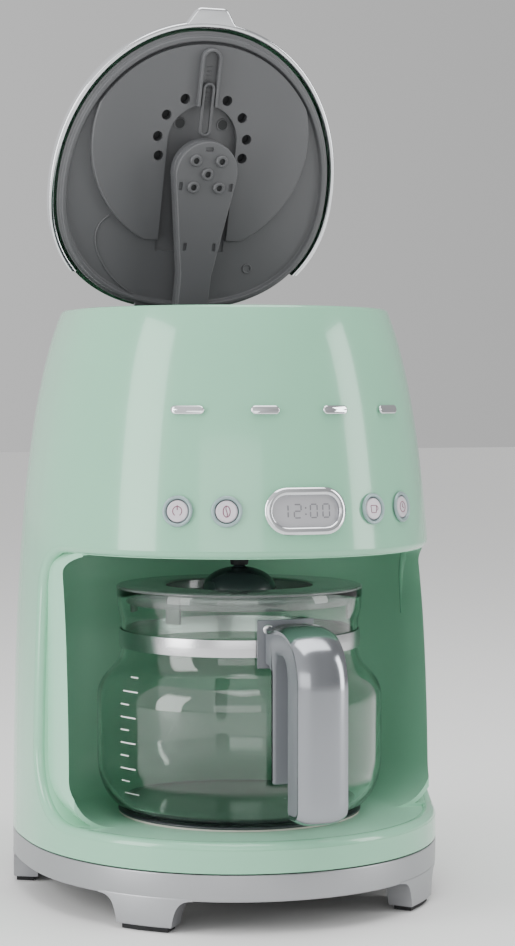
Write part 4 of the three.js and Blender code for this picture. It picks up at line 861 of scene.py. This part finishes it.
carafeLook = {
    "base": 51,
    "dish": [(0, 1.2), (30, 1.0), (54, 0.1)],  # radius and rise of the slightly domed bottom
    "foot": 64.3,
    "belly": 83.3,
    "bellyLow": 80.6,
    "bellyHigh": 115.3,
    "collar": 69.4,
    "collarLow": 144.8,
    "collarHigh": 154.7,
    "mouth": 72,
    "mouthTop": 178,
    "mouthRoll": [(0.2, 0.3), (1.0, 0.6), (1.8, 0.3)],  # inset and rise of the melted edge
    "wall": 2.0,
    "band": [(69.7, 144.8), (70.6, 144.8), (70.75, 149.7), (70.6, 154.7), (69.7, 154.7)],
}
markLook = {"low": 66, "step": 7.2, "count": 10, "angle": 196, "spans": (9, 5), "tall": 0.7, "thick": 0.12}


def glassLine(inset):
    look = carafeLook
    base = look["base"] + inset
    side = [(radius, base + rise) for radius, rise in look["dish"]]
    for i in range(1, 17):
        a = math.pi / 2 * i / 16
        out = (look["belly"] - look["foot"]) * math.sin(a)
        side.append((look["foot"] + out - inset, base + (look["bellyLow"] - base) * (1 - math.cos(a))))
    bend = (look["bellyHigh"] + look["collarLow"]) / 2
    belly, collar, mouth = look["belly"] - inset, look["collar"] - inset, look["mouth"] - inset
    side += bezier((belly, look["bellyHigh"]), (belly, bend), (collar, bend), (collar, look["collarLow"]), 14)
    flare = (look["collarHigh"] + look["mouthTop"]) / 2
    side += bezier((collar, look["collarHigh"]), (collar, flare), (mouth, flare - 6), (mouth, look["mouthTop"]), 10)
    return side


outside, inside = glassLine(0), glassLine(carafeLook["wall"])[::-1]
mouthEdge = [(carafeLook["mouth"] - inset, carafeLook["mouthTop"] + rise)
             for inset, rise in carafeLook["mouthRoll"]]
glass = build("carafe glass", turned([*outside, *mouthEdge, *inside], 144), "glass", atBrew, sharp=60)
show(glass, "carafe", "glass", "carafe_glass")
ticks = []
for level in range(markLook["count"]):
    z = markLook["low"] + level * markLook["step"]
    radius = next(r for r, h in reversed(outside) if h <= z) + 0.1
    outer, top = radius + markLook["thick"], z + markLook["tall"]
    ticks.append(turned([(radius, z), (outer, z), (outer, top), (radius, top)], 6, None, True,
                        markLook["angle"], markLook["spans"][level % 2]))
show(build("volume marks", together(*ticks), "white", atBrew), "carafe", "glass")
bandLine = softened(carafeLook["band"], 0.3, closed=True)
show(build("carafe band", turned(bandLine, 144, loop=True), "steel", atBrew), "carafe", "steel", "carafe_band")

carafeLidLook = {
    "section": [(8, 172.0), (45, 172.0), (45, 178.3), (64.5, 178.3), (64.5, 170), (66.5, 170), (66.5, 178.3),
                (72, 178.3), (72.2, 179.4), (71.2, 180), (46, 180.4), (43, 179.8), (42.6, 174.2), (8, 174)],
    "edge": 0.6,
    "clips": (35, 145, 215, 325),
    "clip": (2.2, 10),
    "clipSpan": (162, 177.5),
    "clipRadius": 65.2,
    "domeFoot": 174.3,
    "dome": (22, 16.2),  # radius and rise, outside
    "domeInside": (20, 14),
    "drain": [(3.4, 190.9), (2.6, 190.6), (2.6, 187)],  # lip of the hole at the dome's top
}
lidLine = softened(carafeLidLook["section"], carafeLidLook["edge"], closed=True)
show(build("carafe lid", turned(lidLine, 128, loop=True), "smoke", atBrew), "carafe_lid", "lid_smoke", "carafe_lid")
clip = prism(pill(*carafeLidLook["clip"], 0.9, 3), *carafeLidLook["clipSpan"], 0.5)
clips = [moved(clip, swung(side, "Z") @ shifted(carafeLidLook["clipRadius"], 0))
         for side in carafeLidLook["clips"]]
show(build("lid clips", together(*clips), "smoke", atBrew), "carafe_lid", "lid_smoke")


def domeArc(size, angles):
    radius, rise = size
    return [(radius * math.cos(a), carafeLidLook["domeFoot"] + rise * math.sin(a) ** 0.8)
            for a in map(math.radians, angles)]


domeLine = [*domeArc(carafeLidLook["dome"], range(0, 81, 8)), *carafeLidLook["drain"],
            *domeArc(carafeLidLook["domeInside"], range(80, -1, -10))]
lidDome = build("lid dome", turned(domeLine, 80, loop=True), "slate", atBrew)
show(lidDome, "carafe_lid", "dome_slate", "carafe_lid_dome")

handle = {
    "reach": 130,
    "top": 166,
    "foot": 60,
    "width": 29,
    "gripHalf": 13.6,
    "grip": 22,  # depth of the part that the hand closes round
    "cover": 2.7,  # how far the grip lies inside the cover's face
    "coverWall": 2.0,
    "crown": 3.4,  # how far the cover's face falls away at its edges
    "root": 75.1,
    "strap": (84.8, 88.0),
    "strapEnd": 78.6,
    "arch": 149,
    "bracket": [(72.2, 139.3), (74.8, 139.3), (74.8, 166.3), (72.2, 166.3)],
    "rivet": [(0, 0), (3.1, 0), (2.8, 1.2), (0, 1.7)],
    "rivetAngle": 8.5,
}


def handleOut(inset):
    # the handle's outer line in side view, from its root over the top and down
    reach, top = handle["reach"] - inset, handle["top"] - inset
    return (bezier((-(handle["reach"] - 34), top), (-(reach - 12), top), (-reach, top - 12), (-reach, top - 34), 18)
            + [(-reach, handle["foot"] + 14)])


def quarter(a, b, c, count=8):
    # a rounded corner from a to c, drawn towards b
    return [tuple((1 - t) ** 2 * a[k] + 2 * t * (1 - t) * b[k] + t * t * c[k] for k in (0, 1))
            for t in [i / count for i in range(count + 1)]]


def crowned(path, halfWidth, thickness, drop, columns=20):
    # a strip along a side-view path whose outer face is pillowed across its width
    verts, normals = [], []
    for i in range(len(path)):
        along = Vector(path[min(i + 1, len(path) - 1)]) - Vector(path[max(i - 1, 0)])
        normals.append(Vector((-along.y, along.x)).normalized())
    shares = [-1 + 2 * k / columns for k in range(columns + 1)]
    ring = [(t * halfWidth, -drop * abs(t) ** 3.2) for t in shares]
    ring += [(-t * halfWidth * 0.97, -drop * abs(t) ** 3.2 - thickness) for t in shares]
    for (y, z), normal in zip(path, normals):
        for x, h in ring:
            spot = Vector((y, z)) + normal * h
            verts.append((spot.x, spot.y, x))
    n = len(ring)
    faces = wrapped(len(path), n)[:(len(path) - 1) * n]
    faces += [tuple(range(n))[::-1], tuple(range((len(path) - 1) * n, len(path) * n))]
    return verts, faces


reach, foot, root = handle["reach"], handle["foot"], handle["root"]
handlePlace = atBrew @ acrossX
coverPath = [(-(root + 5), 164.6)] + handleOut(0)
coverPath += quarter((-reach, foot + 12), (-reach, foot), (-(reach - 12), foot)) + [(-(reach - 17), foot)]
coverShape = crowned(coverPath[::-1], handle["width"] / 2, handle["coverWall"], handle["crown"])
cover = build("handle cover", coverShape, "gripChrome", handlePlace, sharp=50)
show(cover, "carafe", "chrome", "handle_cover")
strapIn, strapOut = handle["strap"]
gripIn, arch, skin = reach - handle["grip"], handle["arch"], handle["cover"]
low, outer, tipTurn = foot + skin, reach - skin, (strapOut - strapIn) / 2
gripLine = [(-root, 160), (-83.1, 162.3)] + handleOut(skin)
gripLine += quarter((-outer, foot + 12), (-outer, low), (-(reach - 9), low))
gripLine += quarter((-(gripIn + 5), low), (-gripIn, low), (-gripIn, low + 5))
gripLine += quarter((-gripIn, arch - 14), (-gripIn, arch), (-(gripIn - 10), arch), 10)
gripLine += quarter((-(strapOut + 6), arch), (-strapOut, arch), (-strapOut, arch - 10), 10)
gripLine += [(tipTurn - strapOut - tipTurn * math.cos(a), handle["strapEnd"] - tipTurn * math.sin(a))
             for a in map(math.radians, range(0, 181, 20))]
gripLine += [(-strapIn, 137.8), (-80.5, 141.2), (-root, 141.8)]
gripShape = prism(gripLine, -handle["gripHalf"], handle["gripHalf"], 2.2, 5)
show(build("handle grip", gripShape, "grip", handlePlace), "carafe", "handle_grey", "handle_grip")
bracketLine = softened(handle["bracket"], 0.8, closed=True)
bracket = together(turned(bracketLine, 24, None, True, 257, 26), block([-8, 8], [-73, -70.7], [147, 153]))
show(build("handle bracket", bracket, "grip", atBrew), "carafe", "handle_grey", "handle_bracket")
rivet = turned(softened(handle["rivet"], 0.6), 32)
for side in (-1, 1):
    spot = swung(side * handle["rivetAngle"], "Z") @ shifted(0, -74.6, 161) @ facing
    show(build("bracket rivet", rivet, "steel", atBrew @ spot), "carafe", "steel")

print("stage: basket and drip stop")
basketLook = {
    "holder": [(9, 204), (11, 204), (11, 210), (31, 212), (61.6, 311), (62, 313.3), (66, 313.3), (66, 316.3),
               (60, 316.3), (29, 214), (3.6, 214), (3.6, 210), (9, 210)],
    "filterFoot": 31.4,
    "filterMouth": 57.8,
    "filterRim": 62,
    "panels": 6,
    "panelMargin": 12,
    "panelSweep": 44,
    "stop": [(0, 191.3), (5, 191.3), (7, 203), (7, 205), (3, 205), (3, 217.4), (6, 217.4), (6, 219), (0, 219)],
}
holderShape = turned(softened(basketLook["holder"], 1.0, closed=True), 96, loop=True)
show(build("filter holder", holderShape, "black", atBrew), "filter_holder", "basket_black", "filter_holder")
filterLow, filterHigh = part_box("permanent_filter")
lowZ, highZ = filterLow.z / mm, filterHigh.z / mm
footR, mouthR, rimR = basketLook["filterFoot"], basketLook["filterMouth"], basketLook["filterRim"]
coneLine = [(0, lowZ), (footR - 0.5, lowZ), (mouthR + 1, highZ - 1.5), (rimR, highZ - 1.5), (rimR, highZ),
            (mouthR, highZ), (footR - 1.5, lowZ + 1), (0, lowZ + 1)]
cone = build("permanent filter", turned(softened(coneLine, 0.5), 96), "grip", atBrew)
show(cone, "permanent_filter", "handle_grey", "permanent_filter")


def filterInside(z):
    return footR - 1.5 + (mouthR - footR + 1.5) * (z - lowZ - 1) / (highZ - lowZ - 1)


meshLow, meshHigh = lowZ + basketLook["panelMargin"], highZ - basketLook["panelMargin"]
lowR, highR = filterInside(meshLow), filterInside(meshHigh)
panelLine = [(lowR - 0.15, meshLow), (highR - 0.15, meshHigh), (highR - 0.7, meshHigh), (lowR - 0.7, meshLow)]
panels = [turned(panelLine, 10, None, True, i * 360 / basketLook["panels"] + 8, basketLook["panelSweep"])
          for i in range(basketLook["panels"])]
show(build("filter mesh", together(*panels), "weave", atBrew), "permanent_filter", "handle_grey")
stopShape = turned(softened(basketLook["stop"], 0.6), 48)
show(build("drip stop", stopShape, "black", atBrew), "drip_stop", "basket_black", "drip_stop")

print("stage: lid")
lidLook = {
    "centre": -79,  # middle of the lid's plan, from the hinge
    "half": 91,
    "wall": 2.4,
    "domeFoot": 6.9,
    "domeRise": 16.5,
    "trim": [(90, 0), (93.2, 0), (93.2, 6.6), (90, 6.6)],
    "tab": 11,
    "tray": [(0, 0), (82.3, 0), (83.3, -3), (85.8, -3), (86.3, 0), (88.3, 0.3), (88.3, 2), (0, 2)],
    "panel": -111,  # middle of the round panel, from the hinge
    "panelRadius": 70.5,
    "panelHalf": 63,
    "panelLip": 81.6,  # the tray's inner edge, where the panel ends
    "recess": 22.5,
    "steam": (28, 58, 86, 110),  # angles of the steam holes, on both sides
    "steamRing": 29,
    "steamHole": 3.15,
    "portAngle": 55,
    "portRing": 17,
    "plan": {"front": 1.12, "back": 0.86, "frontPower": 2.05, "backPower": 2.3},
}
lidPlan = lidLook["plan"]
lidHalf = lidLook["half"]
onPlan = shifted(0, lidLook["centre"])
onLid = lidPlace @ onPlan
onPanel = shifted(0, lidLook["panel"])


def domeCurve(inset):
    points, count = [], 26
    for i in range(count + 1):
        a = math.pi / 2 * i / count
        out = 0 if i == count else (lidHalf - inset) * math.cos(a) ** 0.45
        points.append((out, lidLook["domeFoot"] + (lidLook["domeRise"] - inset) * math.sin(a) ** 0.9))
    return points


def roundPanel(angle, radius):
    # a place on the panel, angle in degrees from its rear
    a = math.radians(angle)
    return shifted(radius * math.sin(a), lidLook["panel"] - radius * math.cos(a))


domeShape = turned([*domeCurve(0), *domeCurve(lidLook["wall"])[::-1]], 144, lidPlan)
show(build("lid shell", domeShape, "green", onLid, sharp=50), "lid", "body_green", "lid_shell")

trimShape = turned(softened(lidLook["trim"], 1.5, closed=True, count=6), 144, lidPlan, True)
trim = build("lid trim", trimShape, "chrome", onLid)
combine(trim, build("behind", block(wide, [-26, 60], [-10, 40]), "chrome", lidPlace))
smooth(trim, 40)
front = lidLook["centre"] - lidPlan["front"] * lidHalf
tip = front - lidLook["tab"]
tabSide = bezier((-19, front + 1), (-13, front - 2), (-12, tip), (-7, tip), 14)
tabLine = tabSide + [(-x, y) for x, y in reversed(tabSide)]
tab = build("lid tab", prism(tabLine, 0.1, 3.9, 1.5, 5), "chrome", lidPlace)
show(trim, "lid", "chrome", "lid_trim")
show(tab, "lid", "chrome", "lid_trim")

tray = build("lid liner", turned(softened(lidLook["tray"], 0.7), 160, lidPlan), "grey", onLid)
panelRadius = lidLook["panelRadius"]
half = math.degrees(math.acos(lidLook["panelHalf"] / panelRadius))
panelLine = (arc(0, 0, panelRadius, -90 + half, 90 - half, 40)
             + arc(0, 0, panelRadius, 90 + half, 270 - half, 40))
panel = build("panel", moved(prism(panelLine, -4, 2, 1.1, 4), onPanel), "grey", lidPlace)
inLip = moved(peg(lidLook["panelLip"], -20, 20, 144, lidPlan), onPlan)
combine(panel, build("in lip", inLip, "grey", lidPlace), "INTERSECT")
combine(tray, panel, "UNION")
recess = lidLook["recess"]
recessLine = [(-recess, panelRadius)] + arc(0, 0, recess, 180, 360, 32) + [(recess, panelRadius)]
combine(tray, build("recess", moved(prism(recessLine, -20, 0.9, 0.0, 1), onPanel), "grey", lidPlace))
steamPlaces = [roundPanel(side * angle, lidLook["steamRing"]) for side in (-1, 1) for angle in lidLook["steam"]]
steam = [moved(peg(lidLook["steamHole"], -20, 40, 28), place) for place in steamPlaces]
combine(tray, build("steam holes", together(*steam), "grey", lidPlace))
smooth(tray, 30)
rounded(tray, 0.5, 2, 55)
show(tray, "lid", "lid_grey", "lid_liner")
portLine = softened([(3.1, 0.5), (4.0, 0.2), (4.0, 0.95), (3.1, 0.95)], 0.2, closed=True)
portShape = turned(portLine, 32, loop=True)
# each port also gets a black disc inside its ring: painted shade for the port's hole
for side in (-1, 1):
    place = lidPlace @ roundPanel(side * lidLook["portAngle"], lidLook["portRing"])
    show(build("recess port", portShape, "greyDark", place), "lid", "lid_grey")
    show(build("port hole shade", peg(3.1, 0.7, 0.95, 32), "black", place), "lid", "lid_grey")
# black discs behind the steam holes: painted shade that makes the holes read dark
steamHoleShade = [moved(peg(4, 2.4, 2.8, 24), place) for place in steamPlaces]
show(build("steam hole shade", together(*steamHoleShade), "black", lidPlace), "lid", "lid_grey")


def slotFrame(width, length, wall, low, high, count=10):
    # a long rounded frame with squarish edges
    def square(value):
        return math.copysign(abs(value) ** 0.55, value)

    outline = dense(pill(width, length, width / 2 - 0.05, 10), 2)
    verts = []
    for k in range(count):
        a = 2 * math.pi * k / count
        z = (low + high) / 2 + (high - low) / 2 * square(math.sin(a))
        verts += [(x, y, z) for x, y in offset(outline, wall / 2 - wall / 2 * square(math.cos(a)))]
    return verts, wrapped(count, len(outline))


railLook = {
    "size": (13, 42, 2.0, -8, -3.2),  # width, length, wall and height span
    "middle": -147.5,
    "link": (8, 1.8, -7.6, -4.6),  # width, wall and height span
    "teeth": 9,
    "firstTooth": -136,
    "pitch": 2.6,
    "knuckle": (22, 32),
    "knuckleBore": 2.4,
    "knuckleRadius": 4,
}
rail = build("link rail", moved(slotFrame(*railLook["size"]), shifted(0, railLook["middle"])), "grey", lidPlace,
             sharp=50)
combine(rail, build("rail end", block([-20, 20], [-133, -100], [-12, 0]), "grey", lidPlace))
smooth(rail, 50)
show(rail, "lid", "lid_grey", "lid_liner")
toLid = lidPlace.inverted()
linkYs = [(toLid @ v.co).y for v in frame["nodes"]["spray_link"].data.vertices]
linkNear, linkFar = max(linkYs), min(linkYs)
linkWidth, *linkRest = railLook["link"]
linkShape = moved(slotFrame(linkWidth, linkNear - linkFar, *linkRest), shifted(0, (linkNear + linkFar) / 2))
show(build("spray link", linkShape, "greyDark", lidPlace, sharp=50), "spray_link", "lid_grey", "spray_link")
tooth = prism(pill(3.2, 0.9, 0.3, 2), -4.55, -3.6, 0.15, 2)
teeth = [moved(tooth, shifted(0, railLook["firstTooth"] - i * railLook["pitch"]))
         for i in range(railLook["teeth"])]
show(build("rail teeth", together(*teeth), "greyDark", lidPlace), "lid", "lid_grey")
near, far = railLook["knuckle"]
bore, outer = railLook["knuckleBore"], railLook["knuckleRadius"]
barrelLine = softened([(bore, near), (outer, near), (outer, far), (bore, far)], 0.5, closed=True)
barrel = turned(barrelLine, 40, loop=True)
for side in (-1, 1):
    ear = moved(barrel, Matrix.Diagonal((side, 1, 1, 1)) @ sideways)
    strut = block([side * 27 - 5, side * 27 + 5], [-16, -3], [-0.05, 2.1])
    knuckle = build("lid knuckle", together(ear, strut), "grey", lidPlace)
    show(rounded(knuckle, 0.4, 2), "lid", "lid_grey", "lid_liner")
# moulded outline of the hose channel and a round gate mark, proud of the liner's lower field
channel = bezier((-24, -8), (-40, -14), (-52, -22), (-60, -40), 20)
channel += bezier((-60, -40), (-64, -52), (-60, -58), (-54, -62), 12)
channelLine = [(x, y, -0.1) for x, y in channel]
show(tube("hose channel", channelLine, 0.55, "grey", False, lidPlace, 3), "lid", "lid_grey")
gate = turned(softened([(2.2, -0.5), (3.2, -0.5), (3.2, 0.4), (2.2, 0.4)], 0.25, closed=True), 32, loop=True)
show(build("gate mark", gate, "grey", lidPlace @ shifted(40, -30)), "lid", "lid_grey")

print("stage: spray arm")
armLook = {
    "reach": 102.9,
    "head": 20,
    "root": 10,
    "half": 6.5,  # half the arm's thickness
    "neck": 0.33,
    "nozzles": [(0, 0), (-8.3, -8.3), (8.3, -8.3), (-8.3, 8.3), (8.3, 8.3)],
    "nozzle": [(1.9, -5.8), (3.7, -5.8), (3.7, -7.9), (3.2, -8.5), (1.9, -8.5)],
    # each window's place, width and length, from the head's middle
    "windows": [(0, -15.4, 5, 2.6), (-16.2, 8, 2.4, 5), (16.2, 8, 2.4, 5), (-9.5, 46, 2.4, 5), (9.5, 46, 2.4, 5)],
    "rod": [(0, -14), (3, -14), (3, -10), (6.5, -10), (6.5, 10), (3, 10), (3, 14), (0, 14)],
}
armReach, armHalf = armLook["reach"], armLook["half"]


def armLine(inset, root=0.0):
    # the arm from above: straight sides that widen to the round head
    side, radius = armLook["root"] - inset, armLook["head"] - inset
    neck = -armReach * armLook["neck"]
    tilt = math.degrees(math.atan2(10, armReach * (1 - armLook["neck"])))
    return ([(-side, -root), (-side, neck + 4), (-side - 0.15, neck - 4)]
            + arc(0, -armReach, radius, 180 - tilt, 360 + tilt, 40)
            + [(side + 0.15, neck - 4), (side, neck + 4), (side, -root)])


arm = build("spray arm", prism(armLine(0), -armHalf, -0.5, 0.9, 4), "grey", armPlace)
cuts = [moved(prism(pill(across, along, 0.5, 3), -8, -5.2, 0.0, 1), shifted(x, y - armReach))
        for x, y, across, along in armLook["windows"]]
combine(arm, build("arm windows", together(*cuts), "grey", armPlace))
smooth(arm, 30)
show(arm, "spray_arm", "lid_grey", "spray_arm_body")
coverPlate = build("arm cover", prism(armLine(0.25, 7.5), -0.2, armHalf, 1.2, 4), "greyDark", armPlace)
show(coverPlate, "spray_arm", "lid_grey", "spray_arm_cover")
nozzlePlaces = [shifted(x, y - armReach) for x, y in armLook["nozzles"]]
boss = turned(softened(armLook["nozzle"], 0.3, closed=True), 36, loop=True)
bosses = [moved(boss, place) for place in nozzlePlaces]
# black discs inside the nozzle rings: painted shade for the nozzle holes
nozzleHoleShade = [moved(peg(1.95, -6.9, -6.5, 24), place) for place in nozzlePlaces]
show(build("nozzles", together(*bosses), "grey", armPlace), "spray_arm", "lid_grey", "spray_arm_body")
show(build("nozzle hole shade", together(*nozzleHoleShade), "black", armPlace), "spray_arm", "lid_grey")
rod = moved(turned(softened(armLook["rod"], 0.5), 48), sideways)
show(build("arm root", rod, "grey", armPlace), "spray_arm", "lid_grey", "spray_arm_body")

print("stage: carried nodes")
# pieces whose own solids are shown as they are, by finish
carried = {
    "steel": ["heater", "hinge_pin_left", "hinge_pin_right", "base_screw_front_right", "base_screw_front_left",
              "base_screw_rear_right", "base_screw_rear_left"],
    "silicone": ["cold_hose", "hot_hose", "plate_seal"],
    "tank": ["water_tank"],
    "greyDark": ["top_deck", "arm_bracket"],
    "grip": ["thermostat"],
    "black": ["base_pan", "check_valve", "display_module"],
    "rubber": ["cord_gland", "foot_pad_front_right", "foot_pad_front_left", "foot_pad_rear_right",
               "foot_pad_rear_left"],
    "board": ["control_board", "power_board"],
    "green": ["hinge_cover"],
}
for key, names in carried.items():
    for name in names:
        node = frame["nodes"][name]
        node.data.materials.clear()
        node.data.materials.append(mats[key])
        smooth(node, 38)
        rounded(node, 0.5, 2, 50)

print("stage: studio")
studio = {
    "floor": 9000,  # half its width, in mm
    "room": (1.08, 0.45),  # the room's light on the left and on the right
    "roomSpan": (-0.7, 0.8),
    # each softbox's place, target, width, height and power
    "softboxes": {
        "overhead": ((0.1, -0.3, 1.7), (0, 0, 0.2), 1.4, 1.2, 20),
        "left": ((-1.6, -0.35, 0.6), (0, 0, 0.25), 0.7, 1.5, 22),
        "front": ((-0.9, -2.2, 0.5), (0, 0, 0.15), 1.6, 0.8, 7),
        "right": ((1.5, -0.9, 0.55), (0, 0, 0.25), 0.5, 1.4, 14),
    },
}
spread = [-studio["floor"], studio["floor"]]
floor = build("studio floor", block(spread, spread, [-20, -0.2]), "floor", Matrix.Scale(mm, 4))
world = bpy.data.worlds.new("studio")
bpy.context.scene.world = world
world.use_nodes = True
# a white room with a dimmer right side, so that plated pieces hold a grey gradient
around = addNode(world.node_tree, "ShaderNodeTexCoord").outputs["Generated"]
split = addNode(world.node_tree, "ShaderNodeSeparateXYZ", None, {"Vector": around})
shade = addNode(world.node_tree, "ShaderNodeMapRange", {
    "From Min": studio["roomSpan"][0], "From Max": studio["roomSpan"][1],
    "To Min": studio["room"][0], "To Max": studio["room"][1], "interpolation_type": "SMOOTHSTEP"}, {
    "Value": split.outputs["X"]})
background = world.node_tree.nodes["Background"]
background.inputs["Color"].default_value = colour("ffffff")
world.node_tree.links.new(shade.outputs["Result"], background.inputs["Strength"])

for name, (place, target, width, height, power) in studio["softboxes"].items():
    lamp = bpy.data.lights.new(f"{name} softbox", "AREA")
    lamp.shape = "RECTANGLE"
    lamp.size, lamp.size_y, lamp.energy = width, height, power
    softbox = bpy.data.objects.new(f"{name} softbox", lamp)
    bpy.context.scene.collection.objects.link(softbox)
    softbox.location = place
    softbox.rotation_euler = (Vector(target) - Vector(place)).to_track_quat("-Z", "Y").to_euler()

cameraLook = {"place": (-0.4622, -1.22855, 0.2938), "azimuth": -20.4, "lens": 84.56, "shift": (0.0333, -0.0877)}
view = bpy.data.cameras.new("camera")
view.lens = cameraLook["lens"]
view.sensor_width = 36
view.shift_x, view.shift_y = cameraLook["shift"]
camera = bpy.data.objects.new("camera", view)
bpy.context.scene.collection.objects.link(camera)
camera.location = cameraLook["place"]
camera.rotation_euler = (math.radians(90), 0, math.radians(cameraLook["azimuth"]))
bpy.context.scene.camera = camera
